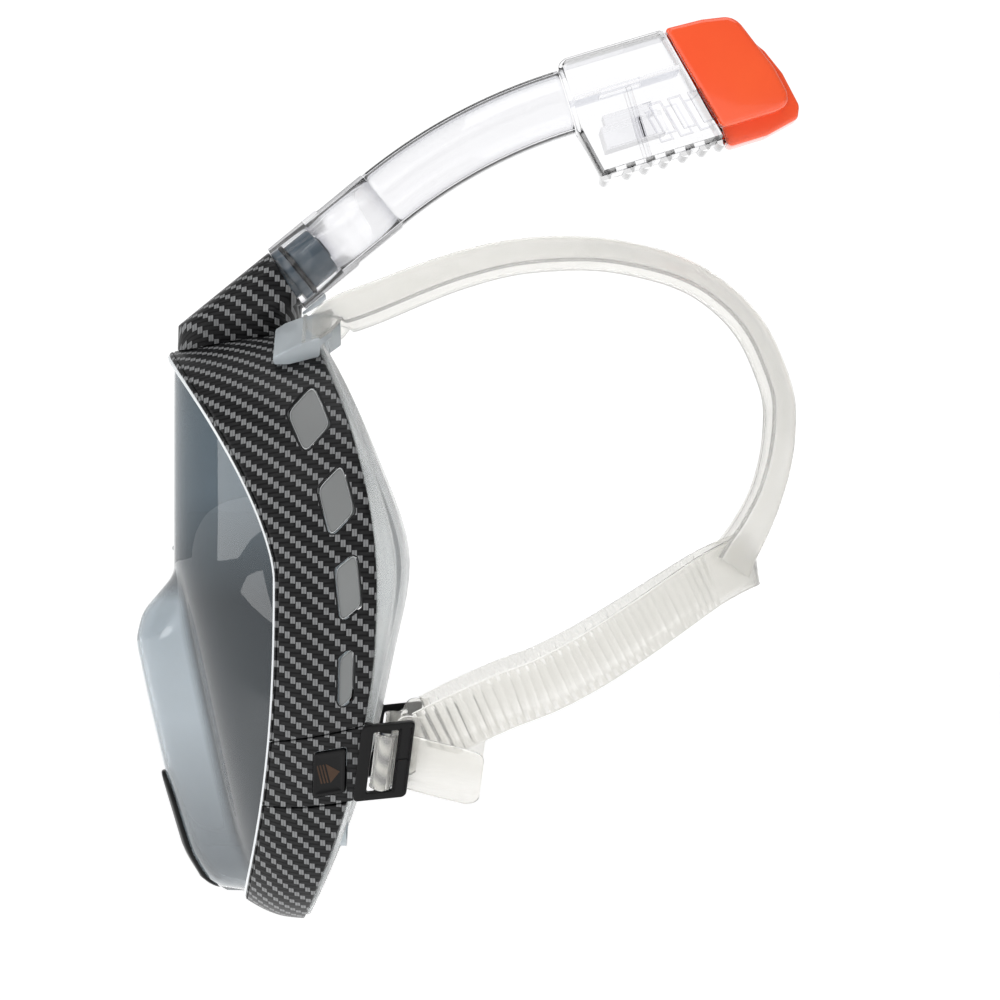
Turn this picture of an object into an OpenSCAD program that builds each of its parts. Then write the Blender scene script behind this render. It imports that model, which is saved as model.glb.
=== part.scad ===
// Full face snorkel: a mask with a purge valve and a strap, and a snorkel with a float valve.
// +Z is up, the wearer looks along -Y, and +X is the wearer's left. The origin lies at the middle of
// the face seal. Lengths are in millimetres.

/* [Mask frame] */
// Half-width of the frame at its rear edge
rear_half_w = 92; // [90:1:94]
// Half-width of the frame at its front edge, round the visor
front_half_w = 80; // [79:1:82]
// Thickness of the frame's band
band_t = 3; // [2.6:0.2:3.2]
// Length of the silicone lip behind the frame
seal_depth = 10; // [8:1:11]

/* [Visor] */
// Thickness of the visor
visor_t = 2.2; // [1.8:0.1:2.4]
// Half-width of the bulge over nose and mouth
bulge_half_w = 36; // [34:1:37]

/* [Snorkel] */
// Rise of the snorkel where it leaves the mask, in degrees above the horizontal
tube_rise = 39.4; // [39:0.1:40]
// Bend radius of the curved tube
tube_bend_r = 225; // [215:5:235]
// Thickness of the tube, front to back
tube_h = 27; // [26:0.5:28]
// Width of the tube, side to side
tube_w = 37; // [36:0.5:38]
// Width of the dry top
top_w = 44; // [42:1:46]

/* [Strap] */
// Width of the strap
strap_w = 23; // [22:0.5:24]
// Thickness of the strap
strap_t = 1.5; // [1.2:0.1:1.6]

/* [Hidden] */

$fn = 48;
gap = 0.3;
eps = 0.01;

// The mask's outline is a superellipse, taller below its widest level than above it
egg_e = 0.88;
wide_z = 15;
front_rise = 93;
front_drop = 136;
rear_rise = 102;
rear_drop = 144;
// How far the seams lean along the band, in degrees of the outline
seam_lean = 5.6;
band_crown = 2.2;
seam_a = -26.5;
seam_b = -40.8;

// Profile of the visor on the centre line: height, then depth
visor_profile = [
    [-119, -60], [-114, -72], [-100, -80.5], [-70, -89.5], [-38, -97], [-12, -102.5],
    [0, -99.5], [8, -92.5], [16, -86], [105, -86]
];
visor_plain = [[-119, -56], [20, -86], [105, -86]];
visor_edge = 3.4;
visor_rim = 6;
side_flatness = 3.2;
bulge_flatness = 2.6;

// Snorkel: where the tube leaves the elbow, and the frame of the dry top
tube_foot = [0, -39.4, 138.6];
socket_len = 52.4;
top_foot = [0, 75.6, 211.8];
top_rise = 17;

// Purge valve at the front of the chin
chin_valve_z = -93;
chin_valve_tilt = 22;
chin_valve_r = 9;
chin_well = 9;

// Buckle: the hinge pin's place, the lean of its plate, and how much its top and bottom bars rise to the rear
hinge_at = [86.2, -4, -57.6];
buckle_lean = 16;
buckle_turn = -7.5;
buckle_len = 21;
buckle_half_h = 16.1;
buckle_bar_rise = 0.25;
buckle_window = [10, 26];
roller_v = 7.3;
roller_r = 2.6;

function spow(v, e) = sign(v) * pow(abs(v), e);
function steps(a, b, n) = [for (i = [0:n]) a + (b - a) * i / n];
function turns(n) = [for (i = [0:n - 1]) 360 * i / n];
function unit(v) = v / norm(v);

// Outline point at angle t, for a half-width and the rise above and the drop below the widest level
function egg(t, half_w, rise, drop) = [
    half_w * spow(cos(t), egg_e),
    wide_z + (sin(t) > 0 ? rise : drop) * spow(sin(t), egg_e)
];
function front_y(z) = z > wide_z
    ? -40.5 - 47.5 * pow((z - wide_z) / front_rise, 1.5)
    : -40.5 - 15.5 * pow((wide_z - z) / front_drop, 2.5);
function rear_y(z) = 1 - pow(z - 10, 2) / (z > 10 ? 395 : 600);

// Outward direction of the outline in X and Z
function egg_out(p, half_w, rise, drop) =
    unit([p[0] / pow(half_w, 2), (p[1] - wide_z) / pow(p[1] > wide_z ? rise : drop, 2)]);

// Point of the band at angle t, u from its front edge (0) to its rear edge (1), d below its surface
function band(t, u, d) =
    let (
        s = t + seam_lean * cos(t) * u,
        f = egg(s, front_half_w, front_rise, front_drop),
        r = egg(s, rear_half_w, rear_rise, rear_drop),
        p = f + (r - f) * u,
        out = egg_out(p, rear_half_w, rear_rise, rear_drop),
        q = p + out * (band_crown * sin(180 * u) - d),
        y = front_y(f[1]) + (rear_y(r[1]) - front_y(f[1])) * u
    )
    [q[0], y, q[1]];

// Point of the skirt at angle t, d inside the frame's surface and y behind its rear edge
function behind(t, d, y) =
    let (
        s = t + seam_lean * cos(t),
        r = egg(s, rear_half_w, rear_rise, rear_drop),
        q = r - egg_out(r, rear_half_w, rear_rise, rear_drop) * d
    )
    [q[0], rear_y(r[1]) + y, q[1]];

// Half-width of the visor at height z
function visor_w(z) =
    (front_half_w - visor_edge) * pow(
        max(0, 1 - pow(abs(z - wide_z) / ((z > wide_z ? front_rise : front_drop) - visor_edge), 2 / egg_e)),
        egg_e / 2);

// Depth of the visor's outer surface at x, z
function visor_y(x, z) =
    let (
        side = min(1, abs(x) / max(visor_w(z), 0.1)),
        flat_part = 1 - pow(side, side_flatness),
        edge = front_y(z) + 1,
        plain = lookup(z, visor_plain),
        bump = abs(x) < bulge_half_w ? pow(1 - pow(abs(x) / bulge_half_w, bulge_flatness), 2) : 0
    )
    edge + (plain - edge) * flat_part + bump * flat_part * (lookup(z, visor_profile) - plain);

// Grid of points on an egg-shaped patch: rows run outward and columns run round
function patch(rows, cols, half_w, rise, drop, z_shift = 0) = [
    for (k = rows) [
        for (t = cols)
            let (p = egg(t, half_w, rise, drop))
            [p[0] * k, (p[1] - wide_z) * k + wide_z + z_shift]
    ]
];

// Closed solid from a stack of closed sections of an even number of points each; loop joins the last to
// the first, and flip is for sections that run the other way round
module sweep(sections, loop = false, flip = false) {
    n = len(sections);
    k = len(sections[0]);
    walls = [
        for (i = [0:(loop ? n - 1 : n - 2)], j = [0:k - 1])
            let (a = i * k + j, b = i * k + (j + 1) % k, c = ((i + 1) % n) * k + (j + 1) % k)
            each [[a, b, c], [a, c, ((i + 1) % n) * k + j]]
    ];
    last = (n - 1) * k;
    ends = loop ? [] : [
        for (j = [0:k / 2 - 2]) each [
            [j + 1, j, k - 1 - j], [k - 2 - j, j + 1, k - 1 - j],
            [last + j, last + j + 1, last + k - 1 - j], [last + j + 1, last + k - 2 - j, last + k - 1 - j]
        ]
    ];
    faces = [for (f = concat(walls, ends)) flip ? f : [for (i = [len(f) - 1:-1:0]) f[i]]];
    polyhedron(points = [for (s = sections) each s], faces = faces, convexity = 8);
}

module mirrored(side) {
    if (side > 0) children();
    else mirror([1, 0, 0]) children();
}

// Stadium outline: thickness along X, width along Y
module stadium(h, w) {
    square([h, w - h], center = true);
    translate([0, (w - h) / 2]) circle(d = h);
    translate([0, -(w - h) / 2]) circle(d = h);
}

// Outline of the three ducts inside the tube
module ducts(h, w) {
    duct = (w - 3.2) / 3;
    intersection() {
        stadium(h, w);
        for (i = [-1:1]) translate([0, i * (duct + 1.6)]) square([h, duct], center = true);
    }
}

// Frame whose Z axis runs up the tube from the elbow, X to the tube's back and Y to its side
module along_tube(a = 0) {
    translate(tube_foot) rotate([tube_rise - 90, 0, 0]) rotate([0, 0, 90]) translate([0, 0, a]) children();
}

// Frame of the dry top: a profile drawn as length and height, extruded to a width
module top_profile(width) {
    translate(top_foot) rotate([top_rise, 0, 0]) rotate([90, 0, 90])
        linear_extrude(width, center = true) children();
}
module in_top() {
    translate(top_foot) rotate([top_rise, 0, 0]) children();
}

// ---- Mask ----

visor_rows = [0.03, 0.1, 0.2, 0.3, 0.41, 0.52, 0.63, 0.74, 0.84, 0.93, 1];
module visor() {
    cols = turns(44);
    outer = patch(visor_rows, cols, front_half_w - visor_edge,
        front_rise - visor_edge, front_drop - visor_edge);
    shrink = 1 - visor_t / front_half_w;
    out_rows = [for (row = outer) [for (p = row) [p[0], visor_y(p[0], p[1]), p[1]]]];
    rim = [for (p = out_rows[len(out_rows) - 1]) p + [0, visor_rim, 0]];
    in_rows = [
        for (row = outer) [
            for (p = row) [
                p[0] * shrink,
                visor_y(p[0], p[1]) + visor_t,
                (p[1] - wide_z) * shrink + wide_z
            ]
        ]
    ];
    in_rim = [for (p = in_rows[len(in_rows) - 1]) p + [0, visor_rim - visor_t, 0]];
    count = len(out_rows);
    color([0.45, 0.5, 0.55, 0.6]) difference() {
        sweep(concat(out_rows, [rim, in_rim], [for (i = [count - 1:-1:0]) in_rows[i]]), flip = true);
        chin_bore(chin_valve_r + gap);
    }
}

// Frame of the purge valve: Z points out of the chin
module chin_frame() {
    translate([0, visor_y(0, chin_valve_z), chin_valve_z]) rotate([90 + chin_valve_tilt, 0, 0]) children();
}
module chin_bore(r) {
    chin_frame() translate([0, 0, -chin_well - 8]) cylinder(r = r, h = chin_well + 14);
}

// Section of the band, from the front lip over the outside and back along the inside
function band_section(t, rear_u, rear_t = band_t) =
    let (us = [0, 0.03, 0.25, 0.5, 0.75, rear_u - 0.02, rear_u], last = len(us) - 1)
    concat(
        [for (i = [0:last]) band(t, us[i], i == 0 || i == last ? 0.5 : 0)],
        [for (i = [last:-1:0]) band(t, us[i], i < last - 1 ? band_t : rear_t)]
    );

// Windows on the left side: middle, short edge and long edge of each, in Y and Z
windows = [
    [[-27, 79], [-9.5, -11], [7, -15.5]],
    [[-15.5, 46], [-9, -9.5], [5, -18.5]],
    [[-10.5, 11], [-7.5, -6], [2, -20.5]],
    [[-11.5, -25.5], [-4.5, -4], [-0.5, -19.5]]
];
window_round = 1.6;

// Window prism along X: the parallelogram with round corners
module window_prism(w) {
    short = unit(w[1]) * (norm(w[1]) / 2 - window_round);
    long = unit(w[2]) * (norm(w[2]) / 2 - window_round);
    hull() for (i = [-1, 1], j = [-1, 1]) {
        c = w[0] + i * short + j * long;
        translate([40, c[0], c[1]]) rotate([0, 90, 0]) cylinder(r = window_round, h = 60, $fn = 16);
    }
}

module frame_upper() {
    color([0.12, 0.12, 0.13]) difference() {
        sweep([for (t = steps(seam_a + 0.1, 179.9 - seam_a, 56)) band_section(t, 1)]);
        for (side = [-1, 1]) mirrored(side) for (w = windows) window_prism(w);
        // Port into the elbow
        translate([0, elbow_mid, 90]) linear_extrude(40) square([30, 34], center = true);
    }
}

module frame_chin() {
    color([0.12, 0.12, 0.13])
        sweep([for (t = steps(180 - seam_b + 0.1, 359.9 + seam_b, 26)) band_section(t, 1)]);
}

// Surface of the band's left side over y, z, d below it
function band_x(y, z, d) =
    let (
        u = (y - front_y(z)) / (rear_y(z) - front_y(z)),
        rise = z > wide_z
            ? front_rise + (rear_rise - front_rise) * u
            : front_drop + (rear_drop - front_drop) * u,
        half_w = front_half_w + (rear_half_w - front_half_w) * u
    )
    half_w * pow(1 - pow(abs(z - wide_z) / rise, 2 / egg_e), egg_e / 2) + band_crown * sin(180 * u) - d;
insert_fit = 0.93;
corner_e = 0.34;
function insert_ring(w, k, d) = [
    for (t = turns(24))
        let (p = w[0] + k * (spow(cos(t), corner_e) * w[1] + spow(sin(t), corner_e) * w[2]) / 2)
        [band_x(p[0], p[1], d), p[0], p[1]]
];
module window_inserts(side) {
    color([0.66, 0.68, 0.7]) mirrored(side) for (w = windows) sweep([
        insert_ring(w, 0.05, 0.7), insert_ring(w, insert_fit, 0.7),
        insert_ring(w, insert_fit, 2.2), insert_ring(w, 0.05, 2.2)
    ], flip = true);
}

// Outward normal and middle of the button's place on the band
button_t = -33.9;
button_u = 0.715;
button_at = band(button_t, button_u, 0);
button_back = unit(band(button_t, button_u + 0.1, 0) - band(button_t, button_u - 0.1, 0));
button_out = unit(cross(button_back, unit(band(button_t + 3, button_u, 0) - band(button_t - 3, button_u, 0))));
button_up = cross(button_out, button_back);
button_size = [14.4, 18.8];
button_shear = 0.28;
button_travel = 1.8;

// Frame of the button: X to the rear, Y up along the band, Z outward
module button_frame() {
    multmatrix([
        [button_back[0], button_up[0], button_out[0], button_at[0]],
        [button_back[1], button_up[1], button_out[1], button_at[1]],
        [button_back[2], button_up[2], button_out[2], button_at[2]],
        [0, 0, 0, 1]
    ]) children();
}

// Flat plate with round corners; lean slants its sides and rise slants its top and bottom
module plate(size, z0, z1, r = 1.5, lean = 0, rise = 0) {
    corners = [[1, 1], [-1, 1], [-1, -1], [1, -1]];
    outline = [
        for (i = [0:3], k = [0:4])
            let (
                a = 90 * i + 22.5 * k,
                x = corners[i][0] * (size[0] / 2 - r) + r * cos(a),
                y = corners[i][1] * (size[1] / 2 - r) + r * sin(a)
            )
            [x + lean * y, y + rise * x]
    ];
    translate([0, 0, z0]) linear_extrude(z1 - z0) polygon(outline);
}

// The clip's rear edge runs past the frame's, more towards the chin, where it is thin and carries the knuckle
clip_reach = 0.1;
clip_rear_t = 1.2;
function clip_section(t) = band_section(t, 1 + clip_reach * (seam_a - t) / (seam_a - seam_b), clip_rear_t);
module side_clip(side) {
    color([0.12, 0.12, 0.13]) mirrored(side) {
        difference() {
            sweep([for (t = steps(seam_b + 0.2, seam_a - 0.2, 8)) clip_section(t)]);
            button_frame() plate(button_size, -8, 6, lean = button_shear);
        }
        buckle_frame() difference() {
            union() {
                translate([0, 0, -0.9]) rotate([90, 0, 0]) cylinder(r = 1.8, h = 13, center = true);
                translate([-0.5, 0, -2.6]) cube([3, 13, 3.4], center = true);
            }
            translate([0, 0, -0.9]) rotate([90, 0, 0]) cylinder(r = 0.92, h = 40, center = true);
        }
    }
}

module release_button(side) {
    color([0.08, 0.08, 0.08]) mirrored(side) button_frame() {
        plate(button_size - [0.7, 0.7], -1.4, 0.9, 1.2, lean = button_shear);
        translate([-1.5, 0, 0]) plate(button_size - [6, 3], -2.6, -1.4 + eps, lean = button_shear);
    }
}

module rear_frame() {
    color([0.05, 0.05, 0.05]) sweep([
        for (t = turns(60)) [
            band(t, 0.9, band_t + gap), band(t, 0.97, band_t + gap),
            behind(t, band_t + 3.2, -1), band(t, 0.9, band_t + 3.2)
        ]
    ], loop = true);
}

// Depth of the skirt at angle t: full at the cheekbones and shallow at the forehead and the chin
function seal_at(t) =
    let (z = behind(t, 0, 0)[2])
    seal_depth * (0.32 + 0.68 * exp(-pow((z - seal_mid) / seal_reach, 2)));

// Section of the skirt: a root behind the frame, a round outer wall, and a lip turned in to the face
function skirt_section(t) =
    let (deep = seal_at(t))
    [
        behind(t, 6.6, gap), behind(t, 2.2, gap), behind(t, 1.6, deep * 0.4),
        behind(t, 2.4, deep * 0.75), behind(t, 5.5, deep), behind(t, 14, deep * 0.96),
        behind(t, 23, deep * 0.62), behind(t, 27, deep * 0.2), behind(t, 25.5, deep * 0.16),
        behind(t, 21.5, deep * 0.44), behind(t, 14, deep * 0.7), behind(t, 8, deep * 0.68),
        behind(t, 6.6, deep * 0.4)
    ];
module skirt() {
    color([0.85, 0.87, 0.88, 0.8]) sweep([for (t = turns(48)) skirt_section(t)], loop = true);
}

// Height at which the skirt is deepest, and how far from there it gets shallow
seal_mid = 22;
seal_reach = 36;

pocket_rise = 72;
pocket_drop = 68;
pocket_shift = -46;
pocket_rear = -14;
pocket_t = 1.6;
pocket_rows = [0.05, 0.3, 0.55, 0.75, 0.88, 0.96, 1];
inhale_at = [0, -34, -8];
module nose_pocket() {
    cols = turns(36);
    grid = patch(pocket_rows, cols, bulge_half_w - 1, pocket_rise, pocket_drop, pocket_shift);
    last = len(pocket_rows) - 1;
    front = [for (row = grid) [for (p = row)
        [p[0], min(visor_y(p[0], p[1]) + 5, -34), p[1]]]];
    shrink = 1 - pocket_t / bulge_half_w;
    mid_z = wide_z + pocket_shift;
    back = [for (row = front) [for (p = row)
        [p[0] * shrink, p[1] + pocket_t, (p[2] - mid_z) * shrink + mid_z]]];
    rim = [for (p = front[last]) [p[0], pocket_rear, p[2]]];
    in_rim = [for (p = back[last]) [p[0], pocket_rear, p[2]]];
    color([0.8, 0.83, 0.86, 0.7]) difference() {
        sweep(concat(front, [rim, in_rim], [for (i = [last:-1:0]) back[i]]), flip = true);
        translate(inhale_at) rotate([0, 90, 0]) cylinder(r = 11.2, h = 200, center = true);
        chin_bore(chin_valve_r + gap);
    }
}

// Inhale valves: a spoked seat in the pocket's wall and a thin disc on its inner side
inhale_x = 32;
module inhale_frame(side) {
    mirrored(side) translate(inhale_at + [inhale_x, 0, 0]) rotate([0, 90, 0]) children();
}
module spoked_seat(r, h, bore) {
    difference() {
        cylinder(r = r, h = h);
        translate([0, 0, -eps]) cylinder(r = bore, h = h + 2 * eps);
    }
    difference() {
        union() {
            for (a = [0, 90]) rotate([0, 0, a]) translate([-bore - 0.3, -0.6, h / 2]) cube([2 * bore + 0.6, 1.2, h / 2]);
            translate([0, 0, h / 2]) cylinder(r = 2.2, h = h / 2);
        }
        translate([0, 0, -eps]) cylinder(r = 0.8, h = h + 2 * eps);
    }
}
module inhale_seat(side) {
    color([0.8, 0.83, 0.85]) inhale_frame(side) spoked_seat(11, 3, 8.2);
}
module inhale_disc(side) {
    color([0.9, 0.9, 0.88]) inhale_frame(side) translate([0, 0, -0.7]) difference() {
        cylinder(r = 9.6, h = 0.6);
        translate([0, 0, -eps]) cylinder(r = 0.9, h = 1);
    }
}

module chin_valve_seat() {
    color([0.1, 0.1, 0.1]) chin_frame() translate([0, 0, -chin_well]) spoked_seat(chin_valve_r, 3, chin_valve_r - 3);
}
module chin_valve_disc() {
    color([0.75, 0.78, 0.8]) chin_frame() translate([0, 0, 3.1 - chin_well]) cylinder(r = chin_valve_r - 1.4, h = 0.8);
}
// Cover that follows the chin a little outside the visor
cover_rows = [0.05, 0.4, 0.75, 1];
cover_mid = -91.5;
cover_half = [10.5, 24.5];
cover_out = 1.9;
function cover_ring(k, off) = [
    for (t = turns(32))
        let (
            x = k * cover_half[0] * spow(cos(t), 0.5),
            z = cover_mid + k * cover_half[1] * spow(sin(t), 0.5)
        )
        [x, visor_y(x, z) - off, z]
];
module chin_valve_cover() {
    color([0.05, 0.05, 0.05]) sweep(concat(
        [for (k = cover_rows) cover_ring(k, cover_out)],
        [for (i = [len(cover_rows) - 1:-1:0]) cover_ring(cover_rows[i], gap)]
    ), flip = true);
}

// ---- Elbow and spigot ----

elbow_mid = -59;
elbow_half = [27, 25.6];
function ring_xy(t, a, b, e = 0.55) = [a * spow(cos(t), e), b * spow(sin(t), e)];
// Height of the frame's top over x, y
function roof_z(x, y) =
    let (
        u = (y - front_y(108)) / (rear_y(117) - front_y(108)),
        half_w = front_half_w + (rear_half_w - front_half_w) * u,
        rise = front_rise + (rear_rise - front_rise) * u
    )
    wide_z + rise * pow(1 - pow(abs(x) / half_w, 2 / egg_e), egg_e / 2) + band_crown * sin(180 * u);
elbow_cols = turns(36);
function elbow_foot(k) = [for (t = elbow_cols)
    let (p = ring_xy(t, 23 - k, elbow_half[1] - k))
    [p[0], elbow_mid + p[1], roof_z(p[0], elbow_mid + p[1]) + gap]];
function elbow_crease(k) = [for (t = elbow_cols)
    let (p = ring_xy(t, elbow_half[0] - k, elbow_half[1] - k), y = elbow_mid + p[1] + 0.4)
    [p[0], y, 119 + 0.16 * (y + 84)]];
elbow_face_tilt = 57.8;
function elbow_mouth(k) = [for (t = elbow_cols)
    let (p = ring_xy(t, 20.5 - k, 13.3 - k))
    [p[0], tube_foot[1] + p[1] * cos(elbow_face_tilt), tube_foot[2] - p[1] * sin(elbow_face_tilt)]];
module elbow() {
    color([0.12, 0.12, 0.13]) sweep([
        elbow_foot(0), elbow_crease(0), elbow_mouth(0), elbow_mouth(2.4), elbow_crease(2.4), elbow_foot(2.4)
    ], loop = true);
}

spigot_len = 20.4;
spigot_h = 21.6;
spigot_w = 29.6;
bore_h = 25;
bore_w = 33;
ring_at = 5.6;
ring_h = 2.3;
module spigot() {
    color([0.27, 0.31, 0.35]) along_tube() difference() {
        union() {
            translate([0, 0, -9]) linear_extrude(9) stadium(spigot_h - 3.4, spigot_w - 3.4);
            translate([0, 0, 1.9]) linear_extrude(ring_at - 1.9) stadium(bore_h - 0.6, bore_w - 0.6);
            linear_extrude(2) stadium(spigot_h - 3.4, spigot_w - 3.4);
            translate([0, 0, ring_at - eps]) linear_extrude(ring_h + 2 * eps) stadium(spigot_h - 2, spigot_w - 2);
            translate([0, 0, ring_at + ring_h]) linear_extrude(spigot_len - ring_at - ring_h)
                stadium(spigot_h, spigot_w);
        }
        translate([0, 0, -10]) linear_extrude(40) ducts(spigot_h - 6.4, spigot_w - 6.4);
    }
}
module spigot_o_ring() {
    color([0.05, 0.05, 0.05]) along_tube(ring_at + 0.15) linear_extrude(ring_h - 0.3) difference() {
        stadium(bore_h - 0.1, bore_w - 0.1);
        stadium(spigot_h - 1.9, spigot_w - 1.9);
    }
}
// Catch under the tube's foot, from the elbow's rear wall: its outline gives the distance below the tube's
// axis and the place along it
latch_outline = [[15.1, -3.2], [15.7, -3.8], [17.2, 4.6], [16.6, 8], [15.1, 9]];
module tube_latch() {
    color([0.85, 0.88, 0.9, 0.6]) along_tube() rotate([90, 0, 0])
        linear_extrude(12, center = true) polygon(latch_outline);
}

// ---- Snorkel ----

module tube_socket() {
    color([0.9, 0.93, 0.95, 0.4]) difference() {
        along_tube() {
            difference() {
                union() {
                    translate([0, 0, -2]) linear_extrude(30) stadium(29.4, 37.4);
                    translate([0, 0, 27]) linear_extrude(socket_len - 27 - 0.2) stadium(tube_h + 1, tube_w + 1);
                }
                translate([0, 0, -3]) linear_extrude(spigot_len + 4) stadium(bore_h, bore_w);
                translate([0, 0, spigot_len]) linear_extrude(60) ducts(tube_h - 3.6, tube_w - 3.6);
            }
        }
        translate(tube_foot) rotate([90 - elbow_face_tilt, 0, 0])
            translate([-40, -60, -40]) cube([80, 60.6, 80]);
    }
}

bend_end = top_rise;
bend_from = [tube_foot[1] + socket_len * cos(tube_rise), tube_foot[2] + socket_len * sin(tube_rise)];
bend_mid = bend_from + tube_bend_r * [sin(tube_rise), -cos(tube_rise)];
module snorkel_tube() {
    color([0.9, 0.93, 0.95, 0.4]) translate([0, bend_mid[0], bend_mid[1]]) rotate([0, 90, 0])
        rotate([0, 0, 180 + bend_end])
            rotate_extrude(angle = tube_rise - bend_end, $fn = 180) translate([tube_bend_r, 0]) difference() {
                stadium(tube_h, tube_w);
                ducts(tube_h - 3.6, tube_w - 3.6);
            }
}

// Profiles of the dry top: length along it, then height
housing_outline = [[3.2, -13], [3.2, 15.2], [7, 16.8], [49.5, 16.4], [61, -34.5], [7.5, -34.5]];
housing_inner = [[5.2, -12.4], [5.2, 14], [8, 14.8], [49.8, 14.4], [60, -32.5], [9.2, -32.5]];
cap_outline = [
    [50, 16.4], [66, 15.6], [77, 13.6], [80.6, 10.4], [84.5, 0], [89, -12], [91.4, -24], [90, -28.5], [86, -30],
    [61, -30]
];
cap_inner = [[49, 14], [66, 13.4], [76, 11.4], [82.3, -0.6], [86.6, -12], [88.6, -24], [86, -27.4], [60, -27.6]];
lobe_outline = [
    [62, 10], [80, 8], [88, -4], [92.4, -15], [95.2, -30], [93, -35], [78.7, -38], [63, -38], [61.5, -36]
];
lobe_inner = [[60, 8], [80, 6], [90, -15], [92.6, -30], [78.7, -35.6], [60, -35.6]];
lobe_w = 25;

module dry_top_housing() {
    slots_at = [35, 43.5, 52.2];
    teeth_at = [14, 22.5, 31, 39.5, 48];
    color([0.9, 0.93, 0.95, 0.4]) difference() {
        union() {
            difference() {
                top_profile(top_w) polygon(housing_outline);
                top_profile(top_w - 4) polygon(housing_inner);
                in_top() for (a = slots_at, s = [-1, 1])
                    translate([s * top_w / 2 - 3, a, -25]) cube([6, 4.4, 12.6]);
                in_top() for (a = teeth_at) translate([-17, a, -40]) cube([34, 4.6, 12]);
            }
            // Floor of the air duct, with the port that the float shuts
            in_top() difference() {
                translate([-top_w / 2 + 1, 5, -1.4]) cube([top_w - 2, 46.5, 1.8]);
                translate([-9, 17, -3]) cube([18, 18, 6]);
            }
        }
        in_top() translate([0, 0.5, 0]) rotate([-90, 0, 0]) rotate([0, 0, 90])
            linear_extrude(8) stadium(tube_h + 2, tube_w + 2);
    }
}

// Plane where the cap meets the housing: its lean and its distance along the dry top
cap_lean = 12.2;
cap_from = 52.6;
module dry_top_cap() {
    color([1, 0.36, 0.16]) difference() {
        union() {
            top_profile(top_w) polygon(cap_outline);
            top_profile(lobe_w) polygon(lobe_outline);
        }
        top_profile(top_w - 4.4) polygon(cap_inner);
        top_profile(lobe_w - 4.4) polygon(lobe_inner);
        in_top() rotate([cap_lean, 0, 0]) translate([-top_w, 0, -50]) cube([2 * top_w, cap_from, 90]);
    }
}

float_pin_x = 14;
float_pin_a = 29;
module float_pins() {
    color([0.85, 0.88, 0.9]) in_top() for (s = [-1, 1])
        translate([s * float_pin_x, float_pin_a, -32.3]) cylinder(r = 1.2, h = 30.7);
}
module dry_float() {
    color([0.88, 0.9, 0.9]) in_top() difference() {
        translate([-18, 13, -24]) cube([36, 26, 9]);
        for (s = [-1, 1]) translate([s * float_pin_x, float_pin_a, -30]) cylinder(r = 1.6, h = 20);
    }
}
module float_seal() {
    color([0.8, 0.8, 0.78]) in_top() translate([-11, 15.5, -15]) cube([22, 21, 5]);
}

// ---- Buckle ----

// Frame of the left buckle: X to the rear, Y up along the hinge pin, Z outward
module buckle_frame() {
    translate(hinge_at) rotate([buckle_turn, 0, 0]) rotate([0, buckle_lean, 0]) rotate([90, 0, 90]) children();
}
module buckle(side) {
    color([0.05, 0.05, 0.05]) mirrored(side) buckle_frame() difference() {
        union() {
            translate([buckle_len / 2 - 2.6, 0, 0])
                plate([buckle_len, 2 * buckle_half_h], -1.7, 1.7, 2, rise = buckle_bar_rise);
            translate([0, 0, -0.9]) rotate([90, 0, 0])
                cylinder(r = 1.8, h = 2 * buckle_half_h - 3, center = true);
        }
        translate([roller_v, 0, 0]) plate(buckle_window, -5, 5, 1, rise = buckle_bar_rise);
        translate([0, 0, -0.9]) rotate([90, 0, 0]) cylinder(r = 0.92, h = 40, center = true);
        translate([0, 0, -0.9]) rotate([90, 0, 0]) cylinder(r = 2.1, h = 14, center = true);
        translate([-3, 0, -1.75]) cube([6, 14, 3.9], center = true);
        translate([roller_v, 0, 0]) rotate([90, 0, 0]) cylinder(r = 0.9, h = 28.4, center = true);
    }
}
module buckle_pin(side) {
    color([0.6, 0.6, 0.62]) mirrored(side) buckle_frame() translate([0, 0, -0.9]) rotate([90, 0, 0])
        cylinder(r = 0.88, h = 26, center = true);
}
module roller_pin(side) {
    color([0.6, 0.6, 0.62]) mirrored(side) buckle_frame() translate([roller_v, 0, 0]) rotate([90, 0, 0])
        cylinder(r = 0.88, h = 28.2, center = true);
}
module roller(side) {
    color([0.75, 0.8, 0.85, 0.7]) mirrored(side) buckle_frame() translate([roller_v, 0, 0]) rotate([90, 0, 0])
        difference() {
            cylinder(r = roller_r, h = 24.4, center = true);
            cylinder(r = 0.95, h = 30, center = true);
        }
}

// ---- Strap ----

// Left crown arm of the strap, from its clip over the head to the nape strap
crown_path = [
    [43, -17, 124], [41, 1, 131], [39, 17, 137.5], [36, 34, 143.5], [33, 54, 148.5], [31, 75, 150.5],
    [29, 94, 150], [28, 113, 146.5], [27, 127, 142], [26, 138, 136], [26, 149, 127], [26, 157, 117],
    [26, 163, 105], [26, 168, 90], [26, 168.5, 76], [26, 166.5, 61], [26, 162, 46], [27, 156.5, 33]
];
// Left half of the nape strap, from its end at the buckle to the middle of the nape
nape_path = [
    [83, 20, -50], [84, 33, -43.5], [82, 52, -35], [79.5, 68, -29], [75.5, 83, -21.5], [70, 95, -14.5],
    [60.5, 110, -5], [46, 128, 7], [36, 139, 14], [24, 149, 19], [12, 155.5, 21.5], [0, 157.5, 22]
];
// Ellipsoid of the head that each strap's face lies on: its middle and half-sizes
crown = [[0, 75, 60], [77, 102, 96]];
nape = [[0, 75, 0], [77, 102, 130]];

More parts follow.
